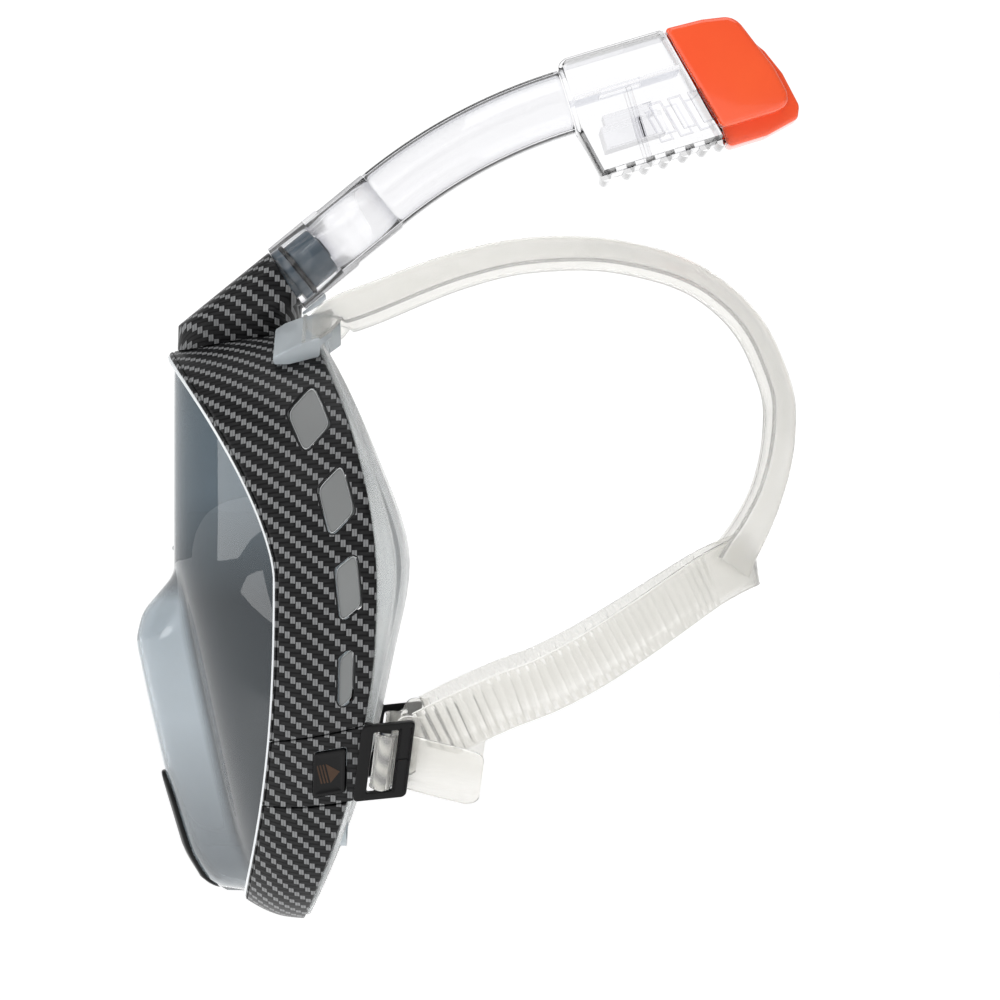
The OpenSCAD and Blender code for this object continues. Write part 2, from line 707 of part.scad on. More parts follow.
// Section of a strap at point i of its path, its face turned to the head
function strap_section(path, i, head) =
    let (
        p = path[i],
        along = unit(path[min(i + 1, len(path) - 1)] - path[max(i - 1, 0)]),
        off = [for (k = [0:2]) (p[k] - head[0][k]) / pow(head[1][k], 2)],
        across = unit(cross(along, off)),
        face = cross(across, along)
    )
    [for (c = [[-1, -1], [1, -1], [1, 1], [-1, 1]]) p + (c[0] * strap_w * across + c[1] * strap_t * face) / 2];
module strap_arm(path, head) {
    sweep([for (i = [0:len(path) - 1]) strap_section(path, i, head)], flip = true);
}
module strap_crown(side) {
    color([0.93, 0.93, 0.9, 0.8]) mirrored(side) strap_arm(crown_path, crown);
}
module strap_nape() {
    right_half = [for (i = [len(nape_path) - 2:-1:0]) [-nape_path[i][0], nape_path[i][1], nape_path[i][2]]];
    color([0.93, 0.93, 0.9, 0.8]) strap_arm(concat(nape_path, right_half), nape);
}

// Strap's end in the buckle's frame: in under the rear bar, round the roller, and back under the bar as the
// tail. Each row is the place to the rear, outward and up, and the turn of its outer face.
loop_r = roller_r + gap + strap_t / 2;
end_path = concat(
    [[21, -5.1, 7, 0], [17, -4.7, 4, 0], [13, -4.6, 1.6, 0], [10, -4.3, 0.4, 0]],
    [for (a = [90:30:330]) [roller_v + loop_r * cos(a), -loop_r * sin(a), 0, a - 90]],
    [
        [11.1, -0.2, 0, 268], [11.15, -1.7, 0, 250], [12.2, -2.95, 0, 210], [14.2, -2.95, 0, 180],
        [19, -2.8, -0.3, 180], [26, -1.6, -0.9, 176], [34, -0.6, -1.6, 176], [47, 0, -2.7, 178]
    ]
);
module strap_end(side) {
    sections = [for (i = [0:len(end_path) - 1])
        let (
            p = end_path[i],
            n = [-sin(p[3]), -cos(p[3])] * strap_t / 2,
            h = strap_w / 2
        )
        [
            [p[0] + n[0], p[2] - h, p[1] + n[1]], [p[0] + n[0], p[2] + h, p[1] + n[1]],
            [p[0] - n[0], p[2] + h, p[1] - n[1]], [p[0] - n[0], p[2] - h, p[1] - n[1]]
        ]
    ];
    color([0.93, 0.93, 0.9, 0.8]) mirrored(side) buckle_frame() sweep(sections, flip = true);
}

// Clip that holds a crown arm's end: a wedge on the frame whose rear rises to meet the strap
clip_at = [44, 0, 107];
clip_lean = 31;
clip_w = 25;
clip_outline = [
    [-42, 0.7], [-23.5, 1.2], [-23, 6.4], [-18, 9.2], [-18, 12.2], [-30, 10.3], [-38, 7], [-42.5, 3.8]
];
module strap_clip(side) {
    color([0.6, 0.65, 0.7, 0.8]) mirrored(side) translate(clip_at) rotate([0, clip_lean, 0])
        rotate([90, 0, 90]) linear_extrude(clip_w, center = true) polygon(clip_outline);
}

visor();
frame_upper();
frame_chin();
side_clip(1);  // side_clip_left
side_clip(-1);  // side_clip_right
window_inserts(1);  // window_inserts_left
window_inserts(-1);  // window_inserts_right
rear_frame();
skirt();
nose_pocket();
inhale_seat(1);  // inhale_seat_left
inhale_seat(-1);  // inhale_seat_right
inhale_disc(1);  // inhale_disc_left
inhale_disc(-1);  // inhale_disc_right
chin_valve_seat();
chin_valve_disc();
chin_valve_cover();
elbow();
spigot();
spigot_o_ring();
tube_latch();
tube_socket();
snorkel_tube();
dry_top_housing();
dry_top_cap();
float_pins();
dry_float();
float_seal();
release_button(1);  // release_button_left
release_button(-1);  // release_button_right
buckle(1);  // buckle_left
buckle(-1);  // buckle_right
buckle_pin(1);  // buckle_pin_left
buckle_pin(-1);  // buckle_pin_right
roller(1);  // roller_left
roller(-1);  // roller_right
roller_pin(1);  // roller_pin_left
roller_pin(-1);  // roller_pin_right
strap_clip(1);  // strap_clip_left
strap_clip(-1);  // strap_clip_right
strap_nape();
strap_crown(1);  // strap_crown_left
strap_crown(-1);  // strap_crown_right
strap_end(1);  // strap_end_left
strap_end(-1);  // strap_end_right
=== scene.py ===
"""Looks of the full face snorkel: finer shells, soft parts, materials, light and camera.

Lengths in the shape functions are millimetres and angles are degrees. +Z is up, the mask faces -Y, and +X
is the wearer's left. A side of 1 is the wearer's left and -1 the right.
"""

import math

import bmesh
import bpy
from mathutils import Matrix, Vector
from mathutils.geometry import tessellate_polygon

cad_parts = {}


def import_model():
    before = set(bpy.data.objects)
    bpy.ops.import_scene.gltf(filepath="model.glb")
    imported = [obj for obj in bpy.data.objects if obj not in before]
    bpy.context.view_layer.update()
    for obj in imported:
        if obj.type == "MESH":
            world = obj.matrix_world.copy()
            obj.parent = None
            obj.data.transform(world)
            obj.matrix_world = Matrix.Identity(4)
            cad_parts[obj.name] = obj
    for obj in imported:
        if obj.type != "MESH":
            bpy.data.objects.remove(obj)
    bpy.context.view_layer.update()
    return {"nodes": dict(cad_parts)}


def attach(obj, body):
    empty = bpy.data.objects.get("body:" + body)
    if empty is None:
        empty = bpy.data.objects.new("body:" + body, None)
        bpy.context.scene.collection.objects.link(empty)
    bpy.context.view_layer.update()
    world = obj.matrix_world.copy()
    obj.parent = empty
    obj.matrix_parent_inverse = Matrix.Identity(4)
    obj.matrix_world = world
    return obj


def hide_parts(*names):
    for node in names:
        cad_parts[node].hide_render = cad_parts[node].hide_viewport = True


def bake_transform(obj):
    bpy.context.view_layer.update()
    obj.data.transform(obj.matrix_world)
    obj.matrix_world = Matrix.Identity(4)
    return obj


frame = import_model()

MM = 0.001
WELD = 0.02 * MM
SIDES = {1: "left", -1: "right"}

# ---------------------------------------------------------------- shape functions, as in the CAD

REAR_HALF_W = 92
FRONT_HALF_W = 80
BAND_T = 3
SEAL_DEPTH = 10
VISOR_T = 2.2
BULGE_HALF_W = 36
TUBE_RISE = 39.4
TUBE_BEND_R = 225
TUBE_H = 27
TUBE_W = 37
TUBE_T = 1.8
DUCT_WALL = 1.6
TOP_W = 44
STRAP_W = 23
STRAP_T = 1.5

EGG_E = 0.88
WIDE_Z = 15
FRONT_RISE = 93
FRONT_DROP = 136
REAR_RISE = 102
REAR_DROP = 144
SEAM_LEAN = 5.6
BAND_CROWN = 2.2
FRONT_Y = -40.5
TOP_FORWARD = 47.5
CHIN_FORWARD = 15.5
SEAM_A = -26.5
SEAM_B = -40.8

VISOR_PROFILE = [
    (-119, -60), (-114, -72), (-100, -80.5), (-70, -89.5), (-38, -97), (-12, -102.5),
    (0, -99.5), (8, -92.5), (16, -86), (105, -86),
]
VISOR_PLAIN = [(-119, -56), (20, -86), (105, -86)]
VISOR_EDGE = 3.4
VISOR_RIM = 6
SIDE_FLATNESS = 3.2
BULGE_FLATNESS = 2.6
CHIN_VALVE_Z = -93
CHIN_VALVE_TILT = 22
CHIN_VALVE_R = 9.3
CHIN_WELL = 9

TUBE_FOOT = (0, -39.4, 138.6)
SOCKET_LEN = 52.4
TOP_FOOT = (0, 75.6, 211.8)
TOP_RISE = 17

HINGE_AT = (86.2, -4, -57.6)
BUCKLE_LEAN = 16
BUCKLE_TURN = -7.5
BAR_RISE = 0.25
ROLLER_V = 7.3
ROLLER_R = 2.6


def spow(v, e):
    return math.copysign(abs(v) ** e, v)


def cosd(t):
    return math.cos(math.radians(t))


def sind(t):
    return math.sin(math.radians(t))


def steps(a, b, n):
    return [a + (b - a) * i / n for i in range(n + 1)]


def turns(n):
    return [360 * i / n for i in range(n)]


def lookup(x, rows):
    if x <= rows[0][0]:
        return rows[0][1]
    for (x0, y0), (x1, y1) in zip(rows, rows[1:]):
        if x <= x1:
            return y0 + (y1 - y0) * (x - x0) / (x1 - x0)
    return rows[-1][1]


def smooth_lookup(x, rows):
    """The table's value, averaged over 6 mm so that its corners are round."""
    return sum(lookup(x + 1.5 * k, rows) for k in range(-2, 3)) / 5


def egg(t, half_w, rise, drop):
    """Point of the outline in X and Z at angle t, from the wearer's left over the top."""
    side, up = cosd(t), sind(t)
    return (half_w * spow(side, EGG_E), WIDE_Z + (rise if up > 0 else drop) * spow(up, EGG_E))


def front_y(z):
    """Depth of the band's front edge at height z."""
    if z > WIDE_Z:
        return FRONT_Y - TOP_FORWARD * ((z - WIDE_Z) / FRONT_RISE) ** 1.5
    return FRONT_Y - CHIN_FORWARD * ((WIDE_Z - z) / FRONT_DROP) ** 2.5


def rear_y(z):
    """Depth of the band's rear edge at height z."""
    return 1 - (z - 10) ** 2 / (395 if z > 10 else 600)


def egg_out(p, half_w, rise, drop):
    """Direction out of the outline at p."""
    length = rise if p[1] > WIDE_Z else drop
    return Vector((p[0] / half_w**2, (p[1] - WIDE_Z) / length**2)).normalized()


def band(t, u, d):
    """Point of the frame's band at angle t, u from its front edge to its rear edge, d below its surface."""
    s = t + SEAM_LEAN * cosd(t) * u
    f = egg(s, FRONT_HALF_W, FRONT_RISE, FRONT_DROP)
    r = egg(s, REAR_HALF_W, REAR_RISE, REAR_DROP)
    p = Vector(f).lerp(Vector(r), u)
    q = p + egg_out(p, REAR_HALF_W, REAR_RISE, REAR_DROP) * (BAND_CROWN * sind(180 * u) - d)
    y = front_y(f[1]) + (rear_y(r[1]) - front_y(f[1])) * u
    return (q.x, y, q.y)


def behind(t, d, y):
    """Point behind the band's rear edge, d inside its surface."""
    r = Vector(egg(t + SEAM_LEAN * cosd(t), REAR_HALF_W, REAR_RISE, REAR_DROP))
    q = r - egg_out(r, REAR_HALF_W, REAR_RISE, REAR_DROP) * d
    return (q.x, rear_y(r.y) + y, q.y)


def band_x(y, z, d):
    """Surface of the band's left side over y, z, d below it."""
    u = (y - front_y(z)) / (rear_y(z) - front_y(z))
    front, rear = (FRONT_RISE, REAR_RISE) if z > WIDE_Z else (FRONT_DROP, REAR_DROP)
    half_w = FRONT_HALF_W + (REAR_HALF_W - FRONT_HALF_W) * u
    k = max(0, 1 - (abs(z - WIDE_Z) / (front + (rear - front) * u)) ** (2 / EGG_E))
    return half_w * k ** (EGG_E / 2) + BAND_CROWN * sind(180 * u) - d


def visor_w(z):
    """Half-width of the visor at height z."""
    half = (FRONT_RISE if z > WIDE_Z else FRONT_DROP) - VISOR_EDGE
    k = max(0, 1 - (abs(z - WIDE_Z) / half) ** (2 / EGG_E))
    return (FRONT_HALF_W - VISOR_EDGE) * k ** (EGG_E / 2)


def visor_y(x, z):
    """Depth of the visor's outer surface at x, z."""
    side = min(1, abs(x) / max(visor_w(z), 0.1))
    flat = 1 - side**SIDE_FLATNESS
    edge = front_y(z) + 1
    plain = lookup(z, VISOR_PLAIN)
    bump = (1 - (abs(x) / BULGE_HALF_W) ** BULGE_FLATNESS) ** 2 if abs(x) < BULGE_HALF_W else 0
    return edge + (plain - edge) * flat + bump * flat * (smooth_lookup(z, VISOR_PROFILE) - plain)


# ---------------------------------------------------------------- mesh helpers


def ring_faces(rows, columns, closed_rows=False):
    """Quads between rows of points, each row a closed loop of columns."""
    found = []
    for i in range(rows if closed_rows else rows - 1):
        for j in range(columns):
            a, b = i * columns + j, i * columns + (j + 1) % columns
            c, d = ((i + 1) % rows) * columns + (j + 1) % columns, ((i + 1) % rows) * columns + j
            found.append((a, b, c, d))
    return found


def walls(rows, closed_rows=False):
    """Open shell from a stack of closed loops."""
    return [p for row in rows for p in row], ring_faces(len(rows), len(rows[0]), closed_rows)


def sweep(sections, loop=False):
    """Closed shell from a stack of closed sections, capped at both ends or joined into a loop."""
    points, faces = walls(sections, loop)
    columns = len(sections[0])
    if not loop:
        faces += [tuple(range(columns)), tuple(len(points) - columns + j for j in range(columns))]
    return points, faces


def stack(levels):
    """Rows at heights along Z, from (loop, height) pairs."""
    return [[(x, y, h) for x, y in loop] for loop, h in levels]


def grid(us, vs, at):
    """Rows of points at(u, v), one row for each u."""
    return [[at(u, v) for v in vs] for u in us]


def joined(*shells):
    """One list of points and faces from several."""
    points, faces = [], []
    for some_points, some_faces in shells:
        start = len(points)
        points += some_points
        faces += [tuple(i + start for i in f) for f in some_faces]
    return points, faces


def placed(shell, matrix):
    points, faces = shell
    return [matrix @ Vector(p) for p in points], faces


def flipped(shell, side):
    points, faces = shell
    return [(p[0] * side, p[1], p[2]) for p in points], faces


# Angle from which an edge stays sharp, and the weave coordinates of a cut face, which are a dark cell
SHARP = 35
CUT_UV = (2.5, 0.5)


def linked(name, data, at=(0, 0, 0)):
    """New object in the scene."""
    obj = bpy.data.objects.new(name, data)
    obj.location = at
    bpy.context.scene.collection.objects.link(obj)
    return obj


def shade(mesh, sharp=SHARP):
    mesh.shade_smooth()
    mesh.set_sharp_from_angle(angle=math.radians(sharp))


def turn_outwards(mesh, weld=0.0):
    """Turns the faces outwards, after joining points closer than weld metres."""
    fix = bmesh.new()
    fix.from_mesh(mesh)
    if weld:
        bmesh.ops.remove_doubles(fix, verts=fix.verts, dist=weld)
    bmesh.ops.recalc_face_normals(fix, faces=fix.faces)
    fix.to_mesh(mesh)
    fix.free()


def piece(name, shell, material, uv=None, sharp=SHARP):
    """Mesh object from points in millimetres; uv gives the weave's coordinates at each point."""
    points, faces = shell
    mesh = bpy.data.meshes.new(name)
    mesh.from_pydata([Vector(p) * MM for p in points], [], faces)
    if uv is not None:
        layer = mesh.uv_layers.new(name="weave")
        for loop in mesh.loops:
            layer.data[loop.index].uv = uv[loop.vertex_index]
    turn_outwards(mesh)
    shade(mesh, sharp)
    mesh.materials.append(material)
    return linked(name, mesh)


def settle(obj):
    """Applies the modifiers and marks the edges that stay sharp."""
    bpy.context.view_layer.update()
    evaluated = obj.evaluated_get(bpy.context.evaluated_depsgraph_get())
    mesh = bpy.data.meshes.new_from_object(evaluated)
    obj.modifiers.clear()
    obj.data = mesh
    shade(mesh)
    return obj


def bevel(obj, width, segments=3, angle=30):
    """Rounds the edges that are sharper than angle; width in millimetres."""
    rounding = obj.modifiers.new("round", "BEVEL")
    rounding.width = width * MM
    rounding.segments = segments
    rounding.limit_method = "ANGLE"
    rounding.angle_limit = math.radians(angle)
    return settle(obj)


def cut(obj, *shells):
    """Cuts closed shells out of obj."""
    for points, faces in shells:
        tool = piece("cutter", (points, faces), obj.data.materials[0], uv=[CUT_UV] * len(points))
        trim = obj.modifiers.new("cut", "BOOLEAN")
        trim.operation = "DIFFERENCE"
        trim.solver = "EXACT"
        trim.object = tool
        settle(obj)
        bpy.data.objects.remove(tool)
    return obj


def side_piece(label, shell, place, side, material, sharp=SHARP):
    """Piece of one side, from a shell of the left side in its own frame."""
    return piece(f"{label}_{SIDES[side]}", flipped(placed(shell, place), side), material, sharp=sharp)


def finish_piece(obj, body, slot, *nodes):
    """Puts the piece on its body, in place of the CAD nodes named; slot is not used."""
    if nodes:
        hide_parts(*nodes)
    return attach(obj, body)


def curve_between(a, b, c, d, per_gap):
    """Points of a smooth curve from b towards c, with a before them and d after."""
    found = []
    for k in range(per_gap):
        t = k / per_gap
        bend = (2 * a - 5 * b + 4 * c - d) * t**2 + (3 * b - a - 3 * c + d) * t**3
        found.append(0.5 * (2 * b + (c - a) * t + bend))
    return found


def spline(path, per_gap):
    """Points of a smooth curve through the path."""
    points = [Vector(p) for p in path]
    ends = [2 * points[0] - points[1], *points, 2 * points[-1] - points[-2]]
    found = []
    for i in range(1, len(ends) - 2):
        found += curve_between(*ends[i - 1 : i + 3], per_gap)
    return found + [points[-1]]


def closed_spline(path, per_gap):
    """Points of a smooth loop through the path."""
    points = [Vector(p) for p in path]
    found = []
    for i in range(len(points)):
        found += curve_between(*(points[(i + k) % len(points)] for k in (-1, 0, 1, 2)), per_gap)
    return found


def turned(*parts):
    """Matrix from a move and turns in degrees: turned((x, y, z), (90, "X"), ...)."""
    matrix = Matrix.Translation(parts[0])
    for angle, axis in parts[1:]:
        matrix = matrix @ Matrix.Rotation(math.radians(angle), 4, axis)
    return matrix


ALONG_TUBE = turned(TUBE_FOOT, (TUBE_RISE - 90, "X"), (90, "Z"))
IN_TOP = turned(TOP_FOOT, (TOP_RISE, "X"))
BUCKLE = turned(HINGE_AT, (BUCKLE_TURN, "X"), (BUCKLE_LEAN, "Y"), (90, "Z"), (90, "X"))


def round_rect(w, h, r):
    """Loop of a rectangle with round corners."""
    n = 6
    found = []
    for corner, (sx, sy) in enumerate([(1, 1), (-1, 1), (-1, -1), (1, -1)]):
        for k in range(n + 1):
            a = 90 * corner + 90 * k / n
            found.append((sx * (w / 2 - r) + r * cosd(a), sy * (h / 2 - r) + r * sind(a)))
    return found


def stadium(h, w):
    """Loop of a stadium: thickness h along X, width w along Y."""
    n = 14
    flat = (w - h) / 2
    found = []
    for start, shift in ((0, flat), (180, -flat)):
        for k in range(n + 1):
            a = start + 180 * k / n
            found.append((h / 2 * cosd(a), shift + h / 2 * sind(a)))
    return found


def ducts(h, w):
    """Loops of the three ducts in a stadium."""
    n = 7
    lane = (w - 2 * DUCT_WALL) / 3
    flat = (w - h) / 2
    found = []
    for i in (-1, 0, 1):
        middle = i * (lane + DUCT_WALL)
        ys = [middle - lane / 2 * cosd(180 * k / n) for k in range(n + 1)]
        half = [math.sqrt(max(0.02, (h / 2) ** 2 - max(0, abs(y) - flat) ** 2)) for y in ys]
        loop = [(x, y) for x, y in zip(half, ys)]
        found.append(loop + [(-x, y) for x, y in reversed(loop)])
    return found


def flat_cap(loops, at):
    """Triangles between an outer loop and the loops inside it, with at(x, y) giving each point."""
    points = [p for loop in loops for p in loop]
    faces = tessellate_polygon([[Vector((*p, 0)) for p in loop] for loop in loops])
    return [at(*p) for p in points], [tuple(f) for f in faces]


def pipe(outer, inner, stations, place):
    """Shell with one outer wall and inner walls; place(x, y, station) gives a point."""
    shells = []
    for loop in (outer, *inner):
        shells.append(walls([[place(x, y, s) for x, y in loop] for s in stations]))
    for s in (stations[0], stations[-1]):
        shells.append(flat_cap([outer, *inner], lambda x, y, s=s: place(x, y, s)))
    return joined(*shells)


def prism(loop, low, high):
    """Closed shell from a loop in X and Y, from low to high along Z."""
    return sweep(stack([(loop, low), (loop, high)]))


def block(x0, x1, y0, y1, z0, z1):
    return prism([(x0, y0), (x1, y0), (x1, y1), (x0, y1)], z0, z1)


def rod(r, length, at):
    """Cylinder along Y."""
    x, mid, z = at
    ends = (mid - length / 2, mid + length / 2)
    return sweep([[(x + r * cosd(t), y, z + r * sind(t)) for t in turns(32)] for y in ends])


def round_cutter(r, low, high):
    """Cylinder along Z, to cut with."""
    return prism([(r * cosd(t), r * sind(t)) for t in turns(48)], low, high)


def side_profile(outline, width):
    """Closed shell of an outline in length and height, width across, in the dry top's frame."""
    return sweep([[(x, a, b) for a, b in outline] for x in (-width / 2, width / 2)])


# ---------------------------------------------------------------- materials


class Graph:
    """A material's node tree, with short ways to add nodes."""

    def __init__(self, name, **shader):
        self.material = bpy.data.materials.new(name)
        self.material.use_nodes = True
        self.tree = self.material.node_tree
        self.shader = self.tree.nodes["Principled BSDF"]
        for key, value in shader.items():
            self.shader.inputs[key.replace("_", " ")].default_value = value

    def node(self, kind, **settings):
        made = self.tree.nodes.new(kind)
        for key, value in settings.items():
            setattr(made, key, value)
        return made

    def put(self, socket, value):
        if isinstance(value, bpy.types.NodeSocket):
            self.tree.links.new(value, socket)
        else:
            socket.default_value = value

    def math(self, operation, *values, clamp=False):
        made = self.node("ShaderNodeMath", operation=operation, use_clamp=clamp)
        for socket, value in zip(made.inputs, values):
            self.put(socket, value)
        return made.outputs[0]

    def mix(self, share, a, b):
        made = self.node("ShaderNodeMix", data_type="RGBA")
        self.put(made.inputs[0], share)
        self.put(made.inputs[6], (*a, 1) if isinstance(a, tuple) else a)
        self.put(made.inputs[7], (*b, 1) if isinstance(b, tuple) else b)
        return made.outputs[2]

    def coords(self):
        return self.node("ShaderNodeTexCoord").outputs["Object"]

    def noise(self, scale, detail=2, stretch=(1, 1, 1)):
        scaled = self.node("ShaderNodeMapping")
        self.put(scaled.inputs["Vector"], self.coords())
        scaled.inputs["Scale"].default_value = stretch
        made = self.node("ShaderNodeTexNoise")
        made.inputs["Scale"].default_value = scale
        made.inputs["Detail"].default_value = detail
        self.put(made.inputs["Vector"], scaled.outputs[0])
        return made.outputs[0]

    def bump(self, height, strength, distance):
        made = self.node("ShaderNodeBump")
        made.inputs["Strength"].default_value = strength
        made.inputs["Distance"].default_value = distance
        self.put(made.inputs["Height"], height)
        self.put(self.shader.inputs["Normal"], made.outputs[0])

    def colour(self, value):
        self.put(self.shader.inputs["Base Color"], value)


def srgb(r, g, b):
    """Linear colour of 8-bit values."""
    return tuple(((v / 255 + 0.055) / 1.055) ** 2.4 if v > 10 else v / 255 / 12.92 for v in (r, g, b))


def plastic(name, dark, light, scale=60, grain=0.0, **shader):
    """Plastic that wanders between two 8-bit colours, with a fine grain if grain is set."""
    g = Graph(name, **shader)
    g.colour(g.mix(g.noise(scale), srgb(*dark), srgb(*light)))
    if grain:
        g.bump(g.noise(2500, 1), grain, 0.0002)
    return g.material


def carbon_print():
    """Printed twill: a light block every fourth cell, stepping down to the rear, over dark floats."""
    g = Graph("carbon_print", Roughness=0.36, Specular_IOR_Level=0.16)
    split = g.node("ShaderNodeSeparateXYZ")
    g.put(split.inputs[0], g.node("ShaderNodeUVMap", uv_map="weave").outputs[0])
    u, v = split.outputs[0], split.outputs[1]

    def light_cell(across, up):
        total = g.math("ADD", g.math("FLOOR", across), g.math("FLOOR", up))
        return g.math("LESS_THAN", g.math("FLOORED_MODULO", total, 4), 0.5)

    in_block = g.math(
        "MAXIMUM", light_cell(u, g.math("ADD", v, 0.17)), light_cell(u, g.math("SUBTRACT", v, 0.17))
    )
    fu = g.math("FRACT", u)
    fv = g.math("FRACT", v)
    off_u = g.math("ABSOLUTE", g.math("SUBTRACT", fu, 0.5))
    off_v = g.math("ABSOLUTE", g.math("SUBTRACT", fv, 0.5))
    inside = g.math("LESS_THAN", off_u, 0.44)
    block = g.math("MULTIPLY", in_block, inside)
    stripes = g.math("COSINE", g.math("MULTIPLY", g.math("SUBTRACT", fu, 0.5), 12.0))
    fibre = g.noise(900, 2, (0.25, 0.25, 1))
    shine = g.math("MULTIPLY_ADD", stripes, -0.22, 0.7)
    shine = g.math("MULTIPLY_ADD", fibre, 0.5, g.math("SUBTRACT", shine, 0.12), clamp=True)
    light = g.mix(shine, srgb(58, 58, 59), srgb(128, 129, 130))

    along = g.math("FLOORED_MODULO", g.math("ADD", u, g.math("FLOOR", v)), 4)
    ends = g.math("ABSOLUTE", g.math("SUBTRACT", along, 2.5))
    fade = g.math("SUBTRACT", 1, g.math("POWER", g.math("DIVIDE", ends, 1.45), 6), clamp=True)
    crown = g.math("SUBTRACT", 1, g.math("POWER", g.math("MULTIPLY", off_v, 2.35), 4), clamp=True)
    lift = g.math("MULTIPLY", fade, crown)
    dark = g.mix(lift, srgb(2, 2, 3), g.mix(fibre, srgb(16, 16, 17), srgb(42, 42, 43)))
    g.colour(g.mix(block, dark, light))
    g.bump(g.math("MULTIPLY_ADD", block, 0.4, g.math("MULTIPLY", lift, 0.6)), 0.12, 0.0002)
    return g.material


def roller_glints():
    """Blue-grey and white stripes that wind round a clear rod: painted reflections and refraction."""
    g = Graph("roller_painted_glints", Roughness=0.08, Transmission_Weight=0.1)
    wave = g.node("ShaderNodeTexWave", wave_type="BANDS", bands_direction="DIAGONAL")
    wave.inputs["Scale"].default_value = 55
    wave.inputs["Distortion"].default_value = 1.2
    g.put(wave.inputs["Vector"], g.coords())
    # Painted reflections and refraction of the clear rod, as winding stripes
    g.colour(g.mix(wave.outputs[1], srgb(24, 34, 52), srgb(236, 236, 232)))
    return g.material


CARBON = carbon_print()


def clear_plastic(name, face, edge, sharpness, **shader):
    """Clear moulding, darker where its surface is seen edge on: painted shade at grazing angles, in place of
    the darker refraction there.
    """
    g = Graph(name, Roughness=0.0, Transmission_Weight=1.0, **shader)
    facing = g.node("ShaderNodeLayerWeight").outputs["Facing"]
    tone = g.mix(g.noise(40), tuple(v * 0.985 for v in face), face)
    # Painted shade where the surface is seen edge on, in place of refraction
    g.colour(g.mix(g.math("POWER", facing, sharpness), tone, edge))
    return g.material


CLEAR = clear_plastic("clear_plastic", (0.99, 0.99, 0.995), srgb(128, 130, 146), 3.5, IOR=1.08,
                      Coat_Weight=0.5, Coat_Roughness=0.02)


# In metres: half-width and top of the paler bulge, how softly it ends, where it dims towards the chin, and
# where the lens turns darker towards the chin. The paler bulge is a painted reflection of the front light
# with the milky pocket showing through, and its dimming is painted shade under the light from above
PALE_HALF_W = 0.034
PALE_TOP = 0.014
PALE_SOFT = 0.005
PAINTED_SHADE_FROM = -0.045
PAINTED_SHADE_OVER = 0.06
DARKER_FROM = 0.05
DARKER_OVER = 0.045


def smoked_lens():
    """Smoked plastic, darker towards the chin; paler over the bulge as a painted reflection of the front
    light with the milky pocket showing through, dimmed by painted shade towards the chin.
    """
    g = Graph("smoked_lens", Roughness=0.0, IOR=1.12, Transmission_Weight=0.62, Coat_Weight=1.0,
              Coat_Roughness=0.0)
    split = g.node("ShaderNodeSeparateXYZ")
    g.put(split.inputs[0], g.coords())
    height = split.outputs[2]

    def ramp_down(value, start, over):
        return g.math("DIVIDE", g.math("SUBTRACT", start, value), over, clamp=True)

    # Paler over the bulge: painted reflection of the front light with the milky pocket showing through,
    # dimmed towards the chin by painted shade
    within = ramp_down(g.math("ABSOLUTE", split.outputs[0]), PALE_HALF_W, PALE_SOFT)
    below = ramp_down(height, PALE_TOP, 2 * PALE_SOFT)
    painted_shade_below = g.math("SUBTRACT", 1, g.math("MULTIPLY", ramp_down(height, PAINTED_SHADE_FROM, PAINTED_SHADE_OVER), 0.65))
    pale = g.math("MULTIPLY", g.math("MULTIPLY", within, below), painted_shade_below)
    upper = g.mix(g.noise(25), srgb(112, 126, 136), srgb(134, 148, 157))
    smoke = g.mix(ramp_down(height, DARKER_FROM, DARKER_OVER), upper, srgb(74, 82, 88))
    g.colour(g.mix(pale, smoke, srgb(208, 217, 223)))
    return g.material


LENS = smoked_lens()
SILICONE = plastic("milky_silicone", (238, 241, 242), (250, 251, 250), 80, Roughness=0.25, IOR=1.15,
                   Transmission_Weight=0.75)
STRAP_SKIN = plastic("strap_silicone", (246, 245, 241), (254, 253, 250), 90, Roughness=0.22, IOR=1.3,
                     Transmission_Weight=0.82)
POCKET = plastic("pocket_silicone", (196, 206, 212), (220, 228, 232), 50, Roughness=0.4, IOR=1.41,
                 Transmission_Weight=0.4)
ORANGE = plastic("orange_plastic", (248, 78, 34), (255, 98, 46), 30, Roughness=0.2, Coat_Weight=0.5,
                 Coat_Roughness=0.05)
BLACK = plastic("black_plastic", (5, 5, 6), (11, 11, 12), 120, grain=0.05, Roughness=0.3,
                Specular_IOR_Level=0.2)
RUBBER = plastic("black_rubber", (6, 6, 7), (14, 14, 15), 150, grain=0.05, Roughness=0.5)
SLATE = plastic("slate_plastic", (52, 64, 74), (88, 102, 114), 45, Roughness=0.25)
STEEL = plastic("steel_pin", (150, 152, 156), (186, 188, 190), 200, Roughness=0.25, Metallic=1.0)
GREY_INSERT = plastic("grey_insert", (110, 112, 112), (132, 134, 134), 18, Roughness=0.45)
RIM_GREY = plastic("insert_rim", (186, 189, 190), (204, 206, 207), 60, Roughness=0.35)
# Pale bead colour: a painted highlight along the frame's front edge
BEAD_HIGHLIGHT = plastic("pale_bead_painted_highlight", (216, 220, 223), (236, 239, 240), 60, Roughness=0.2)
CLIP = plastic("clip_plastic", (206, 214, 219), (228, 233, 236), 40, Roughness=0.12, IOR=1.2,
               Transmission_Weight=0.6)
